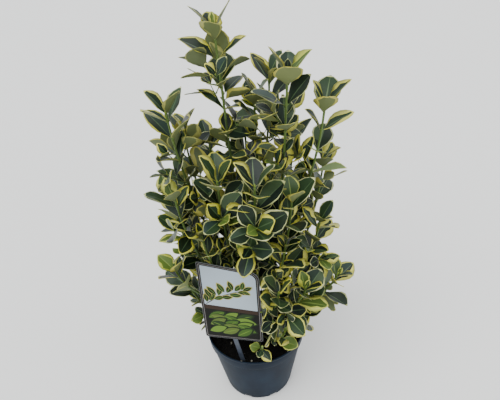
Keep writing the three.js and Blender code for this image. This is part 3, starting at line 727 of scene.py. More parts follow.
# %% Where finer leaves may grow
# Seen from the front and above, a point's level is its coordinates times these
SEEN_LEVEL = (-0.05, 0.7, 1)
# The crown's full width, and its width and height at its narrowest level
FINE_WIDE = 264
WAIST_WIDE = 228
WAIST_TALL = 84
WAIST_LEVEL = 335
# Below this level, seen like that, the soil shows
FINE_LOW = 122
# Space over the card, to the middles of a bough and a stem, and reach from the own stem
FINE_OFF_CARD = 24
FINE_OFF_BOUGH = 5.5
FINE_OFF_STEM = 3
FINE_REACH = 56


def outside_crown(points):
    """Points outside the box of the solids, too far to the side, or too low in front of the
    soil. The crown is narrowest between the low rosettes and the upper shoots."""
    seen_level = points @ SEEN_LEVEL
    at_waist = np.abs(seen_level - WAIST_LEVEL) < WAIST_TALL / 2
    aside = np.abs(points[:, 0]) > np.where(at_waist, WAIST_WIDE, FINE_WIDE) / 2
    outside = (points < SOLID_LOW).any(axis=1) | (points > SOLID_HIGH).any(axis=1)
    return aside | outside | (seen_level < FINE_LOW)


def off_limbs(points, own):
    """True if the points are in the crown, off pot, soil, card and limbs, and not far from
    their stem. The upper edge of the card stays in view."""
    if outside_crown(points).any() or blocked(points, FINE_OFF_CARD, FINE_OFF_BOUGH):
        return False
    away = shoot_lines.distances(points)
    return bool((away > FINE_OFF_STEM).all() and (away[:, own] < FINE_REACH).all())


inside = ~outside_crown(crowd.grids.reshape(-1, 3))
print("points of the crowd in the crown:", int(inside.sum()))

# %% Leaves of a finer twig
# Space between the leaves, and from the twig to all leaves
FINE_SPACE = 4.2
FINE_TWIG_SPACE = 3
FINE_SHARES = (1, 0.88, 0.78, 0.68)
# Way along the twig, length of the leaf, degrees off the twig
FINE_ROWS = ((1, 32, 24), (0.94, 47, 44), (0.6, 45, 60))


def fits(grid, own, grids):
    """True if a leaf's grid is off limbs, crowd and the grids of its twig. Its first points
    don't count, because they are at the stalk."""
    if not off_limbs(grid[3:], own) or not crowd.free(grid[3:], FINE_SPACE):
        return False
    apart = [np.linalg.norm(other[:, None] - grid[6:], axis=2).min() for other in grids]
    return min(apart, default=FINE_SPACE) >= FINE_SPACE


def fine_leaf(own, root, direction, turn, row, seed, grids):
    """The leaf of that row with the first of the shares of its length that fits, or None.
    Its azimuth, angle and length vary by seeded numbers."""
    _, blade, off = FINE_ROWS[row]
    for share in FINE_SHARES:
        numbers = seeded(seed)
        azimuth = turn + 20 * numbers()
        angle = off * (0.8 + 0.4 * numbers())
        long = blade * SHOOTS[own].size * share * (0.85 + 0.3 * numbers())
        leaf = make_leaf(root, direction, azimuth, angle, long, TWIG_LEAF_WIDTH, numbers)
        if fits(leaf_grid(leaf), own, grids):
            leaf["pair"] = 1 + row
            return leaf
    return None


print("leaves of a finer twig: up to", 2 * len(FINE_ROWS))

# %% A finer twig
def fine_twig(own, node, turn, random):
    """A twig 16 to 42 mm long with up to three pairs of leaves, or None where it or two
    leaves have no room."""
    length = 16 + 26 * random()
    lean = math.radians(32 + 32 * random())
    azimuth = node.azimuth + turn + 40 * random()
    direction = twig_direction(node.tangent, azimuth, lean)
    end = node.point + direction * length
    roll = 180 * random()
    seeds = [drawn_seed(random) for _ in range(2 * len(FINE_ROWS))]
    line = np.array([(node.point + end) / 2, end])
    if not off_limbs(line, own) or not crowd.free(line, FINE_TWIG_SPACE):
        return None
    leaves, grids = [], []
    for place, seed in enumerate(seeds):
        row, half = divmod(place, 2)
        root = node.point + direction * (length * FINE_ROWS[row][0])
        leaf = fine_leaf(own, root, direction, roll + 90 * row + 180 * half, row, seed, grids)
        if leaf:
            leaves.append(leaf)
            grids.append(leaf_grid(leaf)[3:])
    return Twig(node.point, end, leaves) if len(leaves) > 1 else None


tried = [fine_twig(0, node, 0, seeded(1)) for node in masses[0]["nodes"]]
print("finer twigs that the first shoot has room for:", sum(twig is not None for twig in tried))

# %% Growing the finer twigs in turns
FINE_TURNS = 7
# The shrub is fullest low down: chances of a try at heights in millimetres
FINE_HEIGHTS = (300, 460, 540)
FINE_CHANCES = (0.6, 0.34, 0.05)

fine_numbers = [seeded(9000 + 13 * own) for own in range(len(SHOOTS))]
for turn in range(FINE_TURNS):
    for own, mass in enumerate(masses):
        for node in mass["nodes"]:
            chance = np.interp(node.point[2], FINE_HEIGHTS, FINE_CHANCES)
            if node.pair < FIRST_TWIG_PAIR or fine_numbers[own]() > chance:
                continue
            twig = fine_twig(own, node, 360 / FINE_TURNS * turn, fine_numbers[own])
            if twig:
                mass["twigs"].append(twig)
                mass["leaves"].extend(twig.leaves)
                crowd.add([leaf_grid(leaf) for leaf in twig.leaves])
print("leaves with the finer ones:", sum(len(mass["leaves"]) for mass in masses))

# %% [markdown]
# ## Plain finishes
# The leaves are dark green with yellow margins, and duller below. A drawn image could hold
# that, but it would have to be laid on every leaf. The leaves' zones have places, so each is
# a plain colour on its own faces. A palette of a few shades for each zone, dealt out leaf by
# leaf, gives the play of colour, and every viewer can show plain values.

# %% Colours and plain materials
def linear(code):
    """A colour written as RRGGBB, turned from the screen's curve to linear light: v / 12.92
    for dark values, and ((v + 0.055) / 1.055)^2.4 for others."""
    values = np.array([(code >> shift & 255) / 255 for shift in (16, 8, 0)])
    light = np.where(values > 0.04045, ((values + 0.055) / 1.055) ** 2.4, values / 12.92)
    return (*light, 1.0)


def finish(name, code, roughness, specular=0.5):
    """A material with one colour, one roughness and one strength of its highlights."""
    material = bpy.data.materials.new(name)
    material.use_nodes = True
    shader = material.node_tree.nodes["Principled BSDF"]
    shader.inputs["Base Color"].default_value = linear(code)
    shader.inputs["Roughness"].default_value = roughness
    shader.inputs["Specular IOR Level"].default_value = specular
    return material


PALETTES = {
    "green": [0x1A281A, 0x213125, 0x17231C, 0x293D25],
    "mid": [0x2B3E2B, 0x37492E, 0x2B3C34],
    "pale": [0xC0C486, 0xCED096, 0xB2B876],
    "gold": [0xC9C646, 0xD2CF60, 0xBAB84A],
    "young green": [0x4A5F2A, 0x59702F, 0x3F5430],
    "rib": [0x465C3C, 0x52693F],
    "young rib": [0x7E9248],
    "young gold": [0xB4BA46, 0xC2C65C],
    "under": [0x667046, 0x747D4E, 0x6B7552],
    "under margin": [0xA6A65C, 0xB8B252],
    "stalk": [0x6B8444],
}
ROUGHNESS = {"under": 0.62, "under margin": 0.62}
LEAF_ROUGHNESS = 0.38
SHEEN = {"green": 0.22, "mid": 0.24, "under": 0.25, "under margin": 0.25}
LEAF_SHEEN = 0.35

# FIRST holds the number of each zone's first shade among the leaves' materials
leaf_finishes = []
FIRST = {}
for zone, codes in PALETTES.items():
    FIRST[zone] = len(leaf_finishes)
    rough, sheen = ROUGHNESS.get(zone, LEAF_ROUGHNESS), SHEEN.get(zone, LEAF_SHEEN)
    for i, code in enumerate(codes):
        leaf_finishes.append(finish(f"leaf {zone} {i + 1}", code, rough, sheen))
print(len(leaf_finishes), "leaf colours")

# %% [markdown]
# ## From arrays to meshes
# Blender could build each piece with its own tools, step by step. Here every surface is
# worked out as arrays, so all pieces go through one helper: points in millimetres, faces as
# lists of corner numbers and the material of each face. The object stays at the origin, and
# its place is in its points, as in the solids of the frame.

# %% Mesh helpers
def linked(name, data):
    """A new object at the origin that shows this data in the scene."""
    made = bpy.data.objects.new(name, data)
    bpy.context.scene.collection.objects.link(made)
    return made


def make_piece(name, points, faces, finishes, kinds=None, *, nodes=(), smooth=True):
    """Makes a mesh object from arrays, shades it, and ties it to the frame."""
    mesh = bpy.data.meshes.new(name)
    mesh.from_pydata(np.asarray(points) * MM, [], faces)
    for material in finishes:
        mesh.materials.append(material)
    if kinds is not None:
        mesh.polygons.foreach_set("material_index", np.asarray(kinds, np.int32))
    mesh.polygons.foreach_set("use_smooth", np.full(len(mesh.polygons), smooth))
    mesh.update()
    piece = linked(name, mesh)
    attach(piece, "root")
    if nodes:
        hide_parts(*nodes)
    return piece


def ring_faces(rings, sides):
    """Corner numbers of a closed skin: rings of points joined by four-sided faces, and a fan
    at each end to a point that comes after all the rings."""
    here = np.arange(sides)
    there = np.roll(here, -1)
    base = np.arange(rings - 1)[:, None] * sides
    around = [here + base, there + base, there + base + sides, here + base + sides]
    start, end, last = rings * sides, rings * sides + 1, (rings - 1) * sides
    start_fan = np.stack([np.full(sides, start), there, here], axis=1)
    end_fan = np.stack([np.full(sides, end), here + last, there + last], axis=1)
    quads = np.stack(around, axis=2).reshape(-1, 4)
    return quads.tolist() + start_fan.tolist() + end_fan.tolist()


def repeated(faces, step, count):
    """The faces of so many equal parts, whose points follow each other by that step."""
    return [[corner + step * i for corner in face] for i in range(count) for face in faces]


print("faces of a skin with 3 rings of 8 points:", len(ring_faces(3, 8)))

# %% [markdown]
# ## The leaves' blades
# One modelled blade could be copied a thousand times, but the copies would look it. So each
# is worked out: a surface of two parameters, s from root to tip and x from the left rim to
# the right one. Its half width follows a power of a sine, with a narrow stalk at the root. A
# line beside each rim divides yellow from green. It wanders from row to row, on some leaves
# far inwards, as on the plant. The underside shares the rim's points, so each leaf is one
# closed skin.

# %% The blade's grid
ROWS = np.array([0.015, 0.1, 0.22, 0.36, 0.52, 0.68, 0.83, 0.94])
# Points 0 to 5 of a row run from the left rim to the right one above, 6 to 8 below
RING = np.array([0, 1, 2, 3, 4, 5, 8, 7, 6])
NEXT_IN_RING = np.roll(RING, -1)
ZONES_ABOVE = ["margin", "left green", "rib", "right green", "margin"]
ZONES_BELOW = ["rim below", "below", "below", "rim below"]


def blade_faces():
    """Corner numbers and zones of one leaf. Each row has six points above and three below,
    which the faces join ring by ring. One face closes the root and a fan closes the tip.
    Faces below start one corner on, so they bend along the same diagonals as those above."""
    count = len(RING)
    faces = [RING[::-1].tolist()]
    zones = ["stalk"] * (1 + count)
    for row in range(len(ROWS) - 1):
        a, b = count * row, count * (row + 1)
        ring = np.stack([RING + a, NEXT_IN_RING + a, NEXT_IN_RING + b, RING + b], axis=1)
        ring[5:] = np.roll(ring[5:], -1, axis=1)
        faces += ring.tolist()
        zones += ZONES_ABOVE + ZONES_BELOW if row else []
    last, tip = count * (len(ROWS) - 1), count * len(ROWS)
    faces += np.stack([np.full(count, tip), RING + last, NEXT_IN_RING + last], axis=1).tolist()
    zones += ["margin"] * 5 + ["rim below"] * 4
    return faces, np.array(zones)


BLADE_FACES, BLADE_ZONES = blade_faces()
LEFT_GREEN = np.flatnonzero(BLADE_ZONES == "left green")
RIGHT_GREEN = np.flatnonzero(BLADE_ZONES == "right green")
print("faces to a leaf:", len(BLADE_FACES))

# %% Where yellow meets green
WIDE_CHANCE = 0.55
LINE_OUTERMOST = 0.945
LINE_INNERMOST = 0.16


def yellow_reach(count, random):
    """How far the yellow comes in towards each rim's tip: 0.08 r on the narrow leaves, and
    0.1 + 0.62 r^1.7 on the wide ones, with r from 0 to 1 by chance."""
    wide = random.random((count, 1)) < WIDE_CHANCE
    much = 0.1 + 0.62 * random.random((count, 2)) ** 1.7
    return np.where(wide, much, 0.08 * random.random((count, 2)))


def dividing_line(reach, random):
    """The line's place x in each row, from 0.945 to 0.16: 0.945 - reach s^1.2 - |jag|."""
    reach = reach[:, None]
    jag = random.standard_normal((len(reach), len(ROWS), 2)) * (0.04 + 0.4 * reach)
    line = LINE_OUTERMOST - reach * ROWS[:, None] ** 1.2 - np.abs(jag)
    return np.clip(line, LINE_INNERMOST, LINE_OUTERMOST)


print("yellow of five leaves:", yellow_reach(5, np.random.default_rng(1)).max(axis=1).round(2))

# %% All blades of a mass
RIB_WIDTH = 0.08
RIB_DEPTH = 0.35
STALK_END = 0.085
STALK_WIDTH = 0.07
# How far the skin stands off the blade's middle surface, in mm
STALK_BODY = 1.1
BODY_ABOVE = 0.75
BODY_BELOW = 0.25
RIPPLE = 0.02
LEAF_VALUES = ("root", "axis", "face", "length", "width", "bend", "fold")


def half_width(share):
    """1.05 sin(pi u^1.22)^0.85 with u from the stalk's end to the tip, and at least the stalk."""
    u = np.clip((share - STALK_END) / (1 - STALK_END), 0, 1)
    return np.maximum(1.05 * np.sin(np.pi * u**1.22) ** 0.85, STALK_WIDTH)


def blade_points(leaves, line, random):
    """Points of all blades of a mass as one array. The centre line bends back by bend s^2, the
    sides go x times the half width up the fold, and a ripple in s grows towards the rim. The
    skin stands off that surface by its body times 1 - x^2, with a groove over the rib."""
    count = len(leaves)
    root, axis, face, *sizes = (np.array([leaf[key] for leaf in leaves]) for key in LEAF_VALUES)
    length, width, bend, fold = (size[:, None, None] for size in sizes)
    left, right = -line[..., 0], line[..., 1]
    zero = np.zeros((count, len(ROWS)))
    rib = zero + RIB_WIDTH * (1.2 - ROWS)
    across = np.stack([zero - 1, left, -rib, rib, right, zero + 1, left, zero, right], axis=2)
    share = np.broadcast_to(ROWS, (count, len(ROWS)))[..., None]
    aside = width * half_width(share) * across
    above = np.arange(len(RING)) <= 5
    body = np.where(share < STALK_END, STALK_BODY, np.where(above, BODY_ABOVE, BODY_BELOW))
    body = body * np.where(above, 1, -1) * (1 - across**2)
    in_rib = above & (np.abs(across) < RIB_WIDTH * 1.3)
    groove = RIB_DEPTH * in_rib * (share > STALK_END)
    phase = 2 * np.pi * random.random((count, 1, 1))
    ripple = RIPPLE * length * across**2 * np.sin(9 * share + 2.2 * across + phase)
    lift = np.abs(aside) * np.sin(fold) - length * bend * share**2 + body + ripple - groove
    points = (
        root[:, None, None]
        + axis[:, None, None] * (length * share)[..., None]
        + np.cross(axis, face)[:, None, None] * (aside * np.cos(fold))[..., None]
        + face[:, None, None] * lift[..., None]
    )
    tip = root + axis * length[:, 0] - face * (length * bend)[:, 0]
    return np.concatenate([points.reshape(count, -1, 3), tip[:, None]], axis=1)


print("widest place of a blade:", round(float(half_width(np.linspace(0, 1, 99)).max()), 2))

# %% Colours of a mass
# Chances of a young leaf in the bud, the first pair and further down, and the same for the
# low shoots that end in a bud, which are this year's
YOUNG_CHANCES = (0.75, 0.3, 0.03)
FRESH_CHANCES = (0.9, 0.6, 0.25)
FRESH_BELOW = 330
MID_CHANCE = 0.5
# The margin is gold where the yellow reaches farther in than this
GOLD_REACH = 0.1


def shade(zone, random):
    """The material number of one of the zone's shades, by chance."""
    return FIRST[zone] + random.integers(len(PALETTES[zone]))


def deal_colours(leaves, reach, fresh, random):
    """The material number of each face. A leaf takes one shade for each zone: light ones when
    it is young, gold margins where the yellow is wide and pale ones where it is thin. On some
    leaves one half of the green takes a middle shade from some row on to the tip."""
    chances = FRESH_CHANCES if fresh else YOUNG_CHANCES
    kinds = np.zeros((len(leaves), len(BLADE_ZONES)), int)
    for i, leaf in enumerate(leaves):
        young = random.random() < chances[min(leaf["pair"], 2)]
        wide = reach[i].max() > GOLD_REACH
        palette = {
            "left green": "young green" if young else "green",
            "rib": "young rib" if young else "rib",
            "margin": "young gold" if young else "gold" if wide else "pale",
            "below": "under",
            "rim below": "under margin",
            "stalk": "stalk",
        }
        for zone, name in palette.items():
            kinds[i, BLADE_ZONES == zone] = shade(name, random)
        kinds[i, RIGHT_GREEN] = kinds[i, LEFT_GREEN]
        if not young and random.random() < MID_CHANCE:
            half = (LEFT_GREEN, RIGHT_GREEN)[random.integers(2)][random.integers(3) :]
            kinds[i, half] = shade("mid", random)
    return kinds.ravel()


print("chances of a young leaf, bud first:", YOUNG_CHANCES)

# %% The leaves as meshes
def make_leaves(mass, number):
    """The blades of one mass as one mesh."""
    leaves, shoot = mass["leaves"], SHOOTS[number]
    random = np.random.default_rng(400 + number)
    reach = yellow_reach(len(leaves), random)
    points = blade_points(leaves, dividing_line(reach, random), random)
    fresh = shoot.first == 0 and shoot.tip[2] < FRESH_BELOW
    kinds = deal_colours(leaves, reach, fresh, random)
    faces = repeated(BLADE_FACES, points.shape[1], len(leaves))
    name = mass["name"]
    return make_piece(
        f"leaves_{name}", points.reshape(-1, 3), faces, leaf_finishes, kinds,
        nodes=[f"foliage_{name}"],
    )


leaf_pieces = [make_leaves(mass, number) for number, mass in enumerate(masses)]
print("leaf faces:", sum(len(piece.data.polygons) for piece in leaf_pieces))

# %% [markdown]
# ## Stems, twigs and buds
# A stem is brown and woody at its foot and green above, thicker where a pair of leaves
# stands, and ends in a pointed bud. A curve with a round bevel could stand for it, but a
# ring of points carried along a path is easier to swell and to colour ring by ring.

# %% A tube along a path
def tube(path, radii, side):
    """Ring point = path + radius (cos(a) across + sin(a) third). The first and last rings
    are closed by one point each, half a radius further on. Radii has a row for each ring and
    a column for each side of the tube."""
    tangent = np.gradient(path, axis=0)
    tangent /= np.linalg.norm(tangent, axis=1)[:, None]
    across = side - (tangent @ side)[:, None] * tangent
    across /= np.linalg.norm(across, axis=1)[:, None]
    third = np.cross(tangent, across)
    angle = np.linspace(0, 2 * np.pi, radii.shape[1], endpoint=False)
    ring = across[:, None] * np.cos(angle)[:, None] + third[:, None] * np.sin(angle)[:, None]
    points = path[:, None] + ring * radii[..., None]
    start = path[0] - tangent[0] * radii[0, 0] * 0.5
    end = path[-1] + tangent[-1] * radii[-1, 0] * 0.5
    return np.vstack([points.reshape(-1, 3), start, end]), ring_faces(*radii.shape)


def round_tube(path, radii, sides, side):
    """A tube whose rings are round, and the number of the ring that each face starts from."""
    rings = len(path)
    points, faces = tube(path, np.repeat(radii[:, None], sides, axis=1), side)
    around = np.repeat(np.arange(rings - 1), sides)
    ends = np.repeat([0, rings - 2], sides)
    return points, faces, np.concatenate([around, ends])


straight = np.linspace((0, 0, 0), (0, 0, 9), 4)
print("points of a tube:", len(round_tube(straight, np.ones(4), 6, np.array([1, 0, 0]))[0]))

# %% Smooth paths
def smooth_path(points, count):
    """The line through the points, with each coordinate as a cubic through its neighbours:
    (2t^3-3t^2+1) a + (t^3-2t^2+t) a' + (3t^2-2t^3) b + (t^3-t^2) b'."""
    slope = np.gradient(points, axis=0)
    want = np.linspace(0, len(points) - 1, count)
    i = np.minimum(want.astype(int), len(points) - 2)
    t = (want - i)[:, None]
    a, b, da, db = points[i], points[i + 1], slope[i], slope[i + 1]
    return (
        (2 * t**3 - 3 * t**2 + 1) * a
        + (t**3 - 2 * t**2 + t) * da
        + (3 * t**2 - 2 * t**3) * b
        + (t**3 - t**2) * db
    )


def side_of(path):
    """A level direction across the path, or Y where it is upright."""
    side = np.cross(UP, path[-1] - path[0])
    return unit(side) if np.linalg.norm(side) > 1 else np.array([0.0, 1.0, 0.0])


def join(parts):
    """Several (points, faces, kinds) as one."""
    points, faces, kinds, base = [], [], [], 0
    for more, shape, kind in parts:
        points.append(more)
        faces += [[corner + base for corner in face] for face in shape]
        kinds.append(kind)
        base += len(more)
    return np.vstack(points), faces, np.concatenate(kinds)


print("points on a smooth path:", len(smooth_path(shoot_lines.points[0], 34)))

# %% Finishes and sizes of the stems
stem_finishes = [
    finish("stem woody", 0x4E4230, 0.8),
    finish("stem green brown", 0x4A4E2C, 0.6),
    finish("stem green", 0x43562A, 0.5, 0.3),
    finish("stem young green", 0x5A7034, 0.45, 0.3),
    finish("bud", 0x849A3E, 0.45),
]
# Shares of the stem's length where the second, third and fourth finish start
STEM_CHANGES = (0.14, 0.3, 0.72)
GREEN, BUD = 2, 4
STEM_RINGS = 68
STEM_SIDES = 8
STEM_FOOT = 2.1
STEM_END = 1.5
# How far the stem goes into the bough
STEM_ROOT = 1.6
# How much its radius swells at the foot and at each node, and over which length
FOOT_SWELL = (0.5, 5)
NODE_SWELL = (0.45, 2.6)
# Rings and sides of twigs and buds
TWIG_RINGS = 7
TWIG_SIDES = 6
TWIG_RADII = (0.95, 0.65)
# Length and thickest radius of the buds
STEM_BUD = (6.5, 1.7)
TWIG_BUD = (4.5, 1.15)
print(f"stems {2 * STEM_FOOT} mm thick at the foot, {2 * STEM_END} at the tip")

# %% Stems of a mass
def stem_part(mass, own):
    """The main stem. Its radius goes evenly from foot to end, plus 0.5 exp(-run / 5) at the
    foot, and swells at every node by 0.45 exp(-(distance to it / 2.6)^2)."""
    path = smooth_path(shoot_lines.points[own], STEM_RINGS)
    run = np.concatenate([[0], np.cumsum(np.linalg.norm(np.diff(path, axis=0), axis=1))])
    radii = STEM_FOOT + (STEM_END - STEM_FOOT) * run / run[-1]
    radii = radii + FOOT_SWELL[0] * np.exp(-run / FOOT_SWELL[1])
    for node in mass["nodes"]:
        away = (run - node.distance) / NODE_SWELL[1]
        radii = radii + NODE_SWELL[0] * np.exp(-(away**2))
    path = np.vstack([path[0] - unit(path[1] - path[0]) * STEM_ROOT, path])
    radii = np.concatenate([[radii[0]], radii])
    points, faces, rows = round_tube(path, radii, STEM_SIDES, side_of(path))
    return points, faces, np.digitize(rows / rows.max(), STEM_CHANGES)


def bud_part(point, direction, length, radius):
    """A bud: a tube whose radius is that of a drop, r sin(pi t^0.7)^0.8, along t from 0 to 1."""
    t = np.linspace(0.06, 0.97, TWIG_RINGS)
    path = point + direction * (t * length)[:, None]
    radii = radius * np.sin(np.pi * t**0.7) ** 0.8
    side = side_of(np.vstack([point, point + 9 * direction]))
    points, faces, rows = round_tube(path, radii, TWIG_SIDES, side)
    return points, faces, np.full(len(rows), BUD)


def twig_part(start, end):
    """A thin twig that sags by a sixteenth of its length in the middle, as 4 t (1 - t). Its
    outer half is a younger green."""
    t = np.linspace(0, 1, TWIG_RINGS)[:, None]
    sag = np.linalg.norm(end - start) / 16
    path = start + (end - start) * t - UP * sag * 4 * t * (1 - t)
    radii = np.linspace(*TWIG_RADII, TWIG_RINGS)
    points, faces, rows = round_tube(path, radii, TWIG_SIDES, side_of(path))
    return points, faces, GREEN + (rows > 3)


def make_stems(mass, own):
    """Stem, twigs and buds of one mass as one mesh."""
    line = shoot_lines.points[own]
    parts = [stem_part(mass, own), bud_part(line[-1], unit(line[-1] - line[-2]), *STEM_BUD)]
    for twig in mass["twigs"]:
        parts.append(twig_part(twig.start, twig.end))
        parts.append(bud_part(twig.end, unit(twig.end - twig.start), *TWIG_BUD))
    points, faces, kinds = join(parts)
    return make_piece(f"stems_{mass['name']}", points, faces, stem_finishes, kinds)


stem_pieces = [make_stems(mass, own) for own, mass in enumerate(masses)]
print("stem faces:", sum(len(piece.data.polygons) for piece in stem_pieces))

# %% [markdown]
# ## Patterned finishes
# Bark, soil and plastic have an all-over grain. A drawn image would need to be unwrapped
# and would show seams. Noise on Object coordinates has none, stays on the piece from every
# side, and drives colour and bump.

# %% A grained material
def grained(name, low, high, scale, roughness, bump, stretch=(1, 1, 1), specular=0.5):
    """Noise at that many cells per metre mixes two colours and lifts the surface."""
    material = finish(name, low, roughness, specular)
    nodes, links = material.node_tree.nodes, material.node_tree.links
    shader = nodes["Principled BSDF"]
    place = nodes.new("ShaderNodeTexCoord")
    mapping = nodes.new("ShaderNodeMapping")
    mapping.inputs["Scale"].default_value = stretch
    noise = nodes.new("ShaderNodeTexNoise")
    noise.inputs["Scale"].default_value = scale
    noise.inputs["Detail"].default_value = 6
    ramp = nodes.new("ShaderNodeValToRGB")
    for stop, position, code in zip(ramp.color_ramp.elements, (0.35, 0.68), (low, high)):
        stop.position = position
        stop.color = linear(code)
    lift = nodes.new("ShaderNodeBump")
    lift.inputs["Strength"].default_value = 0.6
    lift.inputs["Distance"].default_value = bump
    for source, output, target, entry in (
        (place, "Object", mapping, "Vector"),
        (mapping, "Vector", noise, "Vector"),
        (noise, "Fac", ramp, "Fac"),
        (ramp, "Color", shader, "Base Color"),
        (noise, "Fac", lift, "Height"),
        (lift, "Normal", shader, "Normal"),
    ):
        links.new(source.outputs[output], target.inputs[entry])
    return material


bark = grained("bark", 0x3A3226, 0x74684F, 260, 0.85, 0.0012, stretch=(1, 1, 0.3))
earth = grained("potting soil", 0x020202, 0x0B0907, 320, 0.95, 0.0015, specular=0.2)
plastic = grained("pot plastic", 0x0F1A27, 0x1A2837, 22, 0.5, 0.0002, specular=0.1)
print("nodes in a grained finish:", len(bark.node_tree.nodes))

# %% [markdown]
# ## Trunk and boughs
# Old wood has long ridges. Bump alone would leave the outline smooth, so the radius of the
# tube is modulated round and along the limb, and the ridges are real relief.

# %% Woody limbs
WOOD_SIDES = 40
RELIEF = 0.05
# Waves round the limb and their shares of the relief
RIDGES = ((5, 0.4), (9, 0.35), (14, 0.25))


def bark_radii(radii, length, seed):
    """Radius (1 + 0.05 ridges), where the ridges are three cosines of the angle whose phase
    drifts along the limb, and a little noise."""
    random = np.random.default_rng(seed)
    angle = np.linspace(0, 2 * np.pi, WOOD_SIDES, endpoint=False)
    along = np.linspace(0, length, len(radii))[:, None]
    relief = np.zeros((len(radii), WOOD_SIDES))
    for waves, amount in RIDGES:
        phase = 2 * np.pi * random.random() + 0.8 * np.sin(along * 0.09 + random.random() * 6)
        relief += amount * np.cos(waves * angle + phase)
    relief += 0.25 * random.standard_normal(relief.shape)
    return radii[:, None] * (1 + RELIEF * relief)


def make_wood(name, path, radii, seed):
    """One limb with relief, in place of its solid."""
    radii = bark_radii(radii, np.linalg.norm(path[-1] - path[0]), seed)
    points, faces = tube(path, radii, side_of(path))
    return make_piece(f"{name}_bark", points, faces, [bark], nodes=[name])


print("ridges round a limb:", [waves for waves, _ in RIDGES])

# %% The trunk
TRUNK_RINGS = 60
# The trunk narrows over this height at its top
TOP_ROUNDING = 5

heights = np.linspace(SOIL_LEVEL - 1, TRUNK_TOP, TRUNK_RINGS)
over = np.clip((heights - TRUNK_TOP + TOP_ROUNDING) / TOP_ROUNDING, 0, 1)
trunk_radii = trunk_radius(heights) * (1 - 0.35 * over**2)
trunk = make_wood("trunk", heights[:, None] * UP, trunk_radii, 1)
print("trunk faces:", len(trunk.data.polygons))

# %% The boughs
BOUGH_RINGS = 48
# How far a bough goes into the trunk
BOUGH_ROOT = 3

for number, name in enumerate(BOUGHS):
    path = smooth_path(bough_paths[name], BOUGH_RINGS)
    path = np.vstack([path[0] + unit(path[0] - path[1]) * BOUGH_ROOT, path])
    t = np.linspace(0, 1, len(path))
    # Thicker at the trunk, by exp(-14 t), and in a collar under the shoots at t = 0.97
    radii = BOUGH_BASE + (BOUGH_TIP - BOUGH_BASE) * t
    radii = radii + 1.6 * np.exp(-t * 14) + 0.9 * np.exp(-(((t - 0.97) / 0.05) ** 2))
    make_wood(f"bough_{name}", path, radii, 20 + number)
print("boughs:", len(BOUGHS), "of", BOUGH_RINGS + 1, "rings each")

# %% [markdown]
# ## Pot
# A moulded nursery pot: a tapered wall, a step out to the collar, a lip that rolls over and a
# foot with drain slots. Nearly all of it is round, so one profile is turned about Z. The
# slots aren't round, and a boolean cuts them afterwards, as a mould's slides would.

# %% Measures of the pot
POT_SEGMENTS = 144
FOOT_RADIUS = 61
COLLAR_HEIGHT = 20
COLLAR_STEP = 2.4
WALL = 1.6
FLOOR = 2.4
HEEL = 4


def wall_radius(height):
    """The wall's outer radius, a straight line from the heel to under the collar."""
    share = (height - HEEL) / (POT_HEIGHT - COLLAR_HEIGHT - HEEL)
    return FOOT_RADIUS + (RIM_RADIUS - COLLAR_STEP - 2 - FOOT_RADIUS) * share


# Height of the collar's lower edge, the wall's radius there and the collar's
collar = POT_HEIGHT - COLLAR_HEIGHT
step_in = wall_radius(collar)
step_out = step_in + COLLAR_STEP
print("wall under the collar:", round(step_in, 1), "mm from the middle")

# %% The pot's profile turned
def turned(profile):
    """Every point (r, z) of the profile at (r cos a, r sin a, z). Its two ends lie on the
    axis and are one point each. The profile runs so that its right side is the outside."""
    profile = np.asarray(profile, float)
    angle = np.linspace(0, 2 * np.pi, POT_SEGMENTS, endpoint=False)
    ring = np.stack([np.cos(angle), np.sin(angle), 0 * angle], axis=1)
    round_part = profile[1:-1, None]
    points = round_part[..., :1] * ring + round_part[..., 1:] * UP
    ends = profile[[0, -1], 1:] * UP
    faces = ring_faces(len(round_part), POT_SEGMENTS)
    return np.vstack([points.reshape(-1, 3), ends]), faces


# Way in from the foot's radius and height, and way in and down from the rim's upper corner
FOOT_ROUND = ((12, 0.8), (10, 0), (5, 0), (2.2, 0.5), (0.6, 1.8), (0, HEEL))
RIM_ROUND = (
    (1.5, 6), (1.1, 3), (0.3, 2.2), (0, 1.4), (0.2, 0.4), (0.8, 0), (1.8, 0.1), (2.5, 0.8), (2.9, 3),
)
pot_profile = [
    (0, 0.8),
    *((FOOT_RADIUS - inwards, height) for inwards, height in FOOT_ROUND),
    *((wall_radius(height), height) for height in np.linspace(12, collar - 1, 10)),
    (step_in, collar), (step_in + 0.8, collar + 0.4),
    (step_out - 0.4, collar + 0.5), (step_out, collar + 1.2),
    *((RIM_RADIUS - inwards, POT_HEIGHT - down) for inwards, down in RIM_ROUND),
    (step_out - WALL, collar + 1), (step_in - WALL, collar - 1),
    (FOOT_RADIUS - WALL, HEEL + 1.6), (FOOT_RADIUS - HEEL - 0.6, FLOOR), (0, FLOOR),
]
pot_points, pot_faces = turned(pot_profile)
pot = make_piece("pot_shell", pot_points, pot_faces, [plastic], nodes=["pot"])
print("pot faces:", len(pot_faces))

# %% Drain slots round the foot
DRAINS = 8
DRAIN_DEPTH = 12
DRAIN_WIDTH = 13
DRAIN_HEIGHT = 6
# Corners of a box in x, y and z, and its sides
BOX_CORNERS = np.array([(a, b, c) for a in (-1, 1) for b in (-1, 1) for c in (-1, 1)])
BOX_SIDES = [[0, 1, 3, 2], [4, 6, 7, 5], [0, 4, 5, 1], [2, 3, 7, 6], [0, 2, 6, 4], [1, 5, 7, 3]]


def drain_blocks():
    """Eight boxes across the heel, each turned about Z to its place."""
    block = BOX_CORNERS * np.array([DRAIN_DEPTH, DRAIN_WIDTH, DRAIN_HEIGHT]) / 2
    block = block + (FOOT_RADIUS - 2, 0, DRAIN_HEIGHT / 2 - 1)
    turns = 360 * (np.arange(DRAINS) + 0.5) / DRAINS
    points = [block @ np.stack([level(turn), level(turn + 90), UP]) for turn in turns]
    return np.vstack(points), repeated(BOX_SIDES, len(block), DRAINS)


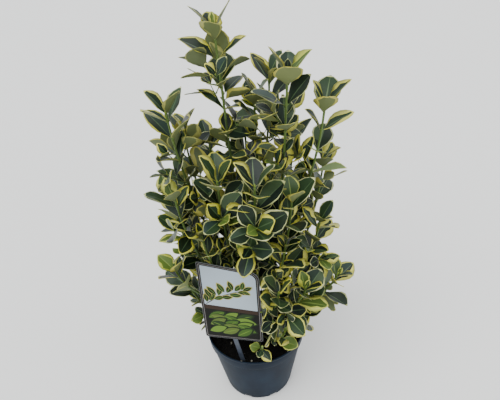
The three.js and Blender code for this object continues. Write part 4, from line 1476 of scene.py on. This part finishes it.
def cut(piece, points, faces):
    """Takes the blocks out of the piece and keeps the result as its mesh."""
    mesh = bpy.data.meshes.new("drain blocks")
    mesh.from_pydata(points * MM, [], faces)
    blocks = linked("drain blocks", mesh)
    boolean = piece.modifiers.new("drains", "BOOLEAN")
    boolean.operation = "DIFFERENCE"
    boolean.solver = "EXACT"
    boolean.object = blocks
    graph = bpy.context.evaluated_depsgraph_get()
    made = bpy.data.meshes.new_from_object(piece.evaluated_get(graph))
    piece.modifiers.clear()
    piece.data = made
    bpy.data.objects.remove(blocks)
    return len(made.polygons)


print("pot faces with its drains:", cut(pot, *drain_blocks()))

# %% [markdown]
# ## Soil
# Potting soil is dark and crumbly. A sculpted surface would need millions of faces for its
# crumbs. Here the top is a turned disc whose rings are lifted by waves and fine noise, and
# loose crumbs lie on it, which give it the rough edge against the light.

# %% Soil surface
soil_random = np.random.default_rng(7)
SOIL_RINGS = 46
SOIL_WAVE = 1.1
SOIL_GRAIN = 0.7
soil_rim = step_out - WALL - GAP


def soil_wave(x, y):
    """Height over the level: 1.1 (sin(0.11 x + 1) cos(0.13 y) + 0.6 sin(0.23 x - 0.19 y))."""
    broad = np.sin(x * 0.11 + 1) * np.cos(y * 0.13)
    return SOIL_WAVE * (broad + 0.6 * np.sin(x * 0.23 - y * 0.19))


soil_profile = [
    (0, FLOOR + GAP), (FOOT_RADIUS - HEEL - 1.4, FLOOR + GAP),
    (FOOT_RADIUS - WALL - GAP - 0.2, HEEL + 2), (step_in - WALL - GAP, collar - 1),
    (soil_rim, collar + 1.4),
]
soil_profile += [(r, SOIL_LEVEL) for r in np.linspace(soil_rim, 1.5, SOIL_RINGS)]
soil_profile.append((0, SOIL_LEVEL))
soil_points, soil_faces = turned(soil_profile)
x, y, z = soil_points.T
radius = np.hypot(x, y)
# The top moves, apart from its rim and its middle
loose = (z > SOIL_LEVEL - 1) & (radius < soil_rim - 0.5) & (radius > 3)
lift = soil_wave(x, y) + SOIL_GRAIN * soil_random.standard_normal(len(z))
soil_points[:, 2] += np.where(loose, lift, 0)
make_piece("soil_surface", soil_points, soil_faces, [earth], nodes=["soil"])
top = soil_points[loose, 2]
print("soil's top: from", top.min().round(1), "to", top.max().round(1))

# %% Loose crumbs
CRUMBS = 700
PALE_EVERY = 25


def crumb_shape():
    """A lump with the twelve corners of an icosahedron: (0, +-1, +-g) and its turns, where g
    is the golden ratio. Any three corners closer than 1.2 to each other are a face."""
    golden = (1 + 5**0.5) / 2
    flat = np.array([(0, a, b * golden) for a in (-1, 1) for b in (-1, 1)])
    points = np.vstack([np.roll(flat, turn, axis=1) for turn in range(3)])
    points /= np.linalg.norm(points, axis=1)[:, None]
    near = np.linalg.norm(points[:, None] - points, axis=2) < 1.2
    threes = np.array(list(combinations(range(12), 3)))
    a, b, c = threes.T
    threes = threes[near[a, b] & near[b, c] & near[a, c]]
    first, second, third = points[threes].transpose(1, 0, 2)
    inwards = np.sum(np.cross(second - first, third - first) * first, axis=1) < 0
    threes[inwards] = threes[inwards][:, [0, 2, 1]]
    return points, threes.tolist()


def crumbs(shape, faces, random):
    """Each lump is stretched, its corners moved, and laid on the soil, a third sunk in."""
    angle = 2 * np.pi * random.random(CRUMBS)
    away = soil_rim * np.sqrt(random.uniform(0.03, 0.95, CRUMBS))
    size = random.uniform(0.5, 2.2, CRUMBS) ** 1.3
    x, y = away * np.cos(angle), away * np.sin(angle)
    place = np.stack([x, y, SOIL_LEVEL + soil_wave(x, y) + 0.3 * size], axis=1)
    stretch = random.uniform(0.6, 1.3, (CRUMBS, 1, 3))
    corners = shape * stretch * (1 + 0.18 * random.standard_normal((CRUMBS, len(shape), 1)))
    points = corners * size[:, None, None] + place[:, None]
    return points.reshape(-1, 3), repeated(faces, len(shape), CRUMBS)


CRUMB_POINTS, CRUMB_FACES = crumb_shape()
crumb_points, crumb_faces = crumbs(CRUMB_POINTS, CRUMB_FACES, soil_random)
pale_crumb = finish("perlite", 0x807D74, 0.9, 0.2)
is_pale = np.repeat(np.arange(CRUMBS) % PALE_EVERY == 0, len(CRUMB_FACES))
make_piece(
    "soil_crumbs", crumb_points, crumb_faces, [earth, pale_crumb], is_pale,
    smooth=False,
)
print("crumbs:", CRUMBS, "with", len(CRUMB_FACES), "faces each")

# %% [markdown]
# ## Card and strap
# The card is a thin plastic plate with round corners on a strap that goes down into the
# soil behind it. A drawn image could carry its picture. Thin flat inlays need no image, stay
# sharp close by and take plain colours. The picture is a plain pattern of its own, with leaf
# shapes in the colours of the shrub.

# %% Outlines on the card
CARD_THICKNESS = 1.0
CORNER_STEPS = 8
OVAL_STEPS = 14


def plate(inset, top, bottom, corner, round_corner):
    """A four-sided outline inset from the card's edges, between two levels given as shares
    of its height. Each corner is a curve with the corner as its control point:
    (1-t)^2 before + 2t(1-t) corner + t^2 after."""
    x = CARD_WIDTH / 2 - inset
    places = np.array([(x, top), (-x, top), (-x, bottom), (x, bottom)], float)
    places[:, 1] *= card_half_height(places[:, 0]) - inset
    t = np.linspace(0, 1, CORNER_STEPS)[:, None]
    outline = []
    for i, radius in enumerate((round_corner, corner, corner, corner)):
        place = places[i]
        before = place + unit(places[i - 1] - place) * radius
        after = place + unit(places[(i + 1) % 4] - place) * radius
        outline.append((1 - t) ** 2 * before + 2 * t * (1 - t) * place + t**2 * after)
    return np.vstack(outline)


def oval(x, y, length, width, turn):
    """A pointed leaf: half width w sin(pi t)^0.8 on both sides of a line from the root."""
    t = np.linspace(0, 1, OVAL_STEPS)
    half = width / 2 * np.sin(np.pi * t) ** 0.8
    right = np.stack([t * length, -half], axis=1)
    left = np.stack([t * length, half], axis=1)[::-1][1:-1]
    along, up = level(turn)[:2], level(turn + 90)[:2]
    return np.vstack([right, left]) @ np.stack([along, up]) + (x, y)


def on_card(outline, front, back):
    """The card's plane turned upright: x along the card, y up, and depth towards the viewer.
    Front and back are the depths of the plate's two faces."""
    count = len(outline)
    flat = CARD_CENTRE + outline[:, :1] * CARD_SIDE + outline[:, 1:] * UP
    points = np.vstack([flat - front * CARD_BACK, flat - back * CARD_BACK])
    here = np.arange(count)
    there = np.roll(here, -1)
    edges = np.stack([here + count, there + count, there, here], axis=1)
    return points, [here.tolist(), (here[::-1] + count).tolist()] + edges.tolist()


print("outline of the card:", len(plate(0, 1, -1, 4, 16)), "points")

# %% The printed pattern
PRINT = {
    "back": 0x6E7172,
    "frame": 0x1A1614,
    "line": 0x7E7C7A,
    "sky": 0xA9B6C0,
    "band": 0x33251C,
    "ground": 0x0B0E08,
    "dark": 0x17240F,
    "deep": 0x24391A,
    "leaf": 0x3E5C20,
    "light": 0x62802E,
    "olive": 0x55662C,
    "cream": 0xA39E50,
}
INK = list(PRINT)
print_finishes = [finish(f"card {name}", code, 0.4, 0.12) for name, code in PRINT.items()]

# A branch on the pale panel: root x and y of each leaf, its length, its direction in degrees
BRANCH_LEAVES = [
    (-38, 0, 20, 96), (-34, 4, 22, 62), (-30, 10, 22, 118), (-26, 8, 20, 28),
    (-22, 18, 22, 132), (-18, 18, 22, 78), (-14, 14, 20, 12), (-8, 26, 22, 122),
    (-4, 26, 21, 64), (0, 22, 21, 6), (6, 33, 20, 110), (9, 32, 20, 52),
    (13, 30, 20, 4), (20, 36, 18, 78), (22, 35, 18, 32), (20, 33, 15, -20),
]
BRANCH = [(-44, -8), (-20, 14), (22, 35)]

# Rows of larger leaves on the dark panel, their length, and the inks that they take in turn
HEDGE_ROWS = 5
HEDGE_COLUMNS = 3
HEDGE_LEAF = 36
HEDGE_INKS = ["leaf", "light", "deep", "olive", "leaf", "light", "olive"]
# Each leaf lies this much over the one before
LAYER = 0.01
print(len(PRINT), "inks,", len(BRANCH_LEAVES) + HEDGE_ROWS * HEDGE_COLUMNS, "printed leaves")

# %% Leaves of the printed pattern
def leaf_print(x, y, length, turn, outer, middle, height):
    """A pointed leaf with a smaller one of another colour on it, and a line for its rib."""
    return [
        (oval(x, y, length, 0.5 * length, turn), height, outer),
        (oval(x, y, 0.9 * length, 0.38 * length, turn), height + 0.3 * LAYER, middle),
        (oval(x, y, 0.8 * length, 0.045 * length, turn), height + 0.6 * LAYER, "light"),
    ]


def branch_print(height):
    """The branch as two thin ovals, and its leaves."""
    layers = []
    for (x, y), (to_x, to_y) in zip(BRANCH, BRANCH[1:]):
        turn = math.degrees(math.atan2(to_y - y, to_x - x))
        line = oval(x, y, math.hypot(to_x - x, to_y - y) + 1, 1.6, turn)
        layers.append((line, height - LAYER, "band"))
    for i, leaf in enumerate(BRANCH_LEAVES):
        layers += leaf_print(*leaf, "cream", ("dark", "deep")[i % 2], height + LAYER * i)
    return layers


def hedge_print(height):
    """Rows of leaves from the top down, each over the last, every other one a bit aside."""
    layers = []
    numbers = seeded(77)
    for i in range(HEDGE_ROWS * HEDGE_COLUMNS):
        row, column = divmod(i, HEDGE_COLUMNS)
        turn = 24 + 18 * numbers() - 50 * (row % 2)
        centre = np.array([-24 + 22 * (column + 0.2 * (row % 2)), -26 - 8.2 * row])
        x, y = centre + 2 * numbers() - HEDGE_LEAF / 2 * level(turn)[:2]
        ink = HEDGE_INKS[i % len(HEDGE_INKS)]
        layers += leaf_print(x, y, HEDGE_LEAF, turn, "dark", ink, height + LAYER * i)
    return layers


print("inlays of the branch:", len(branch_print(0)), "and of the hedge:", len(hedge_print(0)))

# %% The card with its picture
def inlays():
    """The card's layers from the plate outwards as (outline, height over the middle, colour)."""
    half = CARD_THICKNESS / 2
    return [
        (plate(0, 1, -1, 4, 16), half, "back"),
        (plate(0.6, 1, -1, 4, 16), half + 0.05, "frame"),
        (plate(2.8, 1, -1, 3, 14), half + 0.07, "line"),
        (plate(3.6, 1, -1, 3, 13), half + 0.09, "frame"),
        (plate(5.5, 1, -0.08, 2, 12), half + 0.11, "sky"),
        (plate(5.5, -0.2, -1, 2, 2), half + 0.11, "ground"),
        (plate(5.5, -0.08, -0.2, 0.5, 0.5), half + 0.13, "band"),
        *branch_print(half + 0.15),
        *hedge_print(half + 0.15),
    ]


# Inlays are sunk 0.1 mm into the plate, which itself is the layer named back
card_parts = []
for outline, front, colour in inlays():
    back = -CARD_THICKNESS / 2 if colour == "back" else CARD_THICKNESS / 2 - 0.1
    points, faces = on_card(outline, front, back)
    card_parts.append((points, faces, np.full(len(faces), INK.index(colour))))
card_points, card_faces, card_kinds = join(card_parts)
make_piece(
    "card_with_picture", card_points, card_faces, print_finishes, card_kinds,
    smooth=False, nodes=["picture_card"],
)
print("layers of the card:", len(card_parts))

# %% The strap
STRAP_WIDTH = 8
STRAP_THICKNESS = 1.6
# Way along the card from its middle, and height, of the strap's lower and upper end
STRAP_FOOT = (16.7, 80)
STRAP_TOP = (-5.8, 200)
STRAP_RINGS = 40
STRAP_SIDES = 28
GROOVE_DEPTH = 0.25
GROOVE_HALF = 2.2


def strap_grid():
    """The profile is a rounded flat bar, x = w sign(cos a) |cos a|^0.35 and
    y = t sign(sin a) |sin a|^0.5, with a groove of a cosine along the middle of its front.
    It is carried up a straight line."""
    start, end = np.array(STRAP_FOOT), np.array(STRAP_TOP)
    lean = unit(end - start)
    angle = np.linspace(0, 2 * np.pi, STRAP_SIDES, endpoint=False)
    cos, sin = np.cos(angle), np.sin(angle)
    wide = STRAP_WIDTH / 2 * np.sign(cos) * np.abs(cos) ** 0.35
    in_groove = (np.abs(wide) < GROOVE_HALF) & (sin < 0)
    groove = GROOVE_DEPTH * in_groove * np.cos(wide / GROOVE_HALF * np.pi / 2)
    deep = STRAP_THICKNESS / 2 * np.sign(sin) * np.abs(sin) ** 0.5 + groove
    deep = deep + (CARD_THICKNESS + STRAP_THICKNESS) / 2 + GAP
    middle = np.linspace(start, end, STRAP_RINGS)
    x = middle[:, :1] + wide * lean[1]
    z = middle[:, 1:] - wide * lean[0]
    foot = CARD_CENTRE * (1, 1, 0)
    return foot + x[..., None] * CARD_SIDE + deep[:, None] * CARD_BACK + z[..., None] * UP


def skin(grid):
    """A grid of rings as a closed skin, with a point in the middle of each end."""
    ends = grid[[0, -1]].mean(axis=1)
    return np.vstack([grid.reshape(-1, 3), ends]), ring_faces(*grid.shape[:2])


strap_plastic = finish("strap plastic", 0x3C434F, 0.42)
strap_points, strap_faces = skin(strap_grid())
make_piece("strap", strap_points, strap_faces, [strap_plastic], nodes=["card_stake"])
print("strap faces:", len(strap_faces))

# %% [markdown]
# ## Floor, light and camera
# The photograph shows the plant cut out on white, in the even light of a tent. Area lamps
# would light the near leaves more than the far ones. So three distant lamps, each as soft as
# a wide window, and a pale sky light it, over a pale floor. The camera has the place, tilt
# and lens that were worked out from the ellipses of the pot's rim, collar and foot.

# %% Floor
# In metres: half the floor's side, and its way under the pot, so the two share no plane
FLOOR_SIZE = 6
FLOOR_DROP = 0.0004

floor_mesh = bpy.data.meshes.new("floor")
corners = np.array([(-1, -1, 0), (1, -1, 0), (1, 1, 0), (-1, 1, 0)]) * FLOOR_SIZE
floor_mesh.from_pydata(corners - (0, 0, FLOOR_DROP), [], [[0, 1, 2, 3]])
floor_mesh.materials.append(finish("floor", 0xF2F2F0, 0.9))
floor = linked("floor", floor_mesh)
print("floor:", 2 * FLOOR_SIZE, "m across")

# %% Lamps and sky
def placed(name, data, axes, place):
    """A new object with its right, up and backward axes as the columns of its matrix."""
    matrix = np.eye(4)
    matrix[:3, :3] = np.transpose(axes)
    matrix[:3, 3] = place
    made = linked(name, data)
    made.matrix_world = Matrix(matrix.tolist())
    return made


def lamp(name, place, strength, softness):
    """A distant lamp that shines from that place to the origin, as soft as a wide window."""
    light = bpy.data.lights.new(name, "SUN")
    light.energy = strength
    light.angle = math.radians(softness)
    back = unit(np.array(place))
    right = unit(np.cross(UP, back))
    holder = placed(name, light, [right, np.cross(back, right), back], place)


# Name, direction that the light comes from, strength, width in degrees
LAMPS = [
    ("key", (-1.0, -1.3, 2.6), 2.6, 50),
    ("fill", (1.8, -1.6, 1.6), 0.7, 70),
    ("back", (0.4, 2.0, 2.2), 0.9, 60),
]
for values in LAMPS:
    lamp(*values)

world = bpy.data.worlds.new("pale sky")
world.use_nodes = True
sky = world.node_tree.nodes["Background"]
sky.inputs["Color"].default_value = linear(0xEEF2F6)
sky.inputs["Strength"].default_value = 0.85
bpy.context.scene.world = world
print("lamps:", [name for name, *_ in LAMPS])

# %% Camera
# Place in metres, angles, and the widths in millimetres that set the field of view
CAMERA_BACK = 0.6761
CAMERA_HEIGHT = 0.8719
PITCH = math.radians(35.14)
ROLL = math.radians(-3.99)
YAW = math.radians(0.46)
LENS = 40
SENSOR = 36

ahead = np.array([math.sin(YAW), math.cos(YAW), 0])
forward = math.cos(PITCH) * ahead - math.sin(PITCH) * UP
level_right = np.array([math.cos(YAW), -math.sin(YAW), 0])
level_up = np.cross(level_right, forward)
rolled_right = math.cos(ROLL) * level_right + math.sin(ROLL) * level_up
rolled_up = math.cos(ROLL) * level_up - math.sin(ROLL) * level_right
camera_data = bpy.data.cameras.new("camera")
camera_data.lens = LENS
camera_data.sensor_width = SENSOR
camera_place = (0, -CAMERA_BACK, CAMERA_HEIGHT)
camera = placed("camera", camera_data, [rolled_right, rolled_up, -forward], camera_place)
bpy.context.scene.camera = camera
print("camera looks along", forward.round(3))
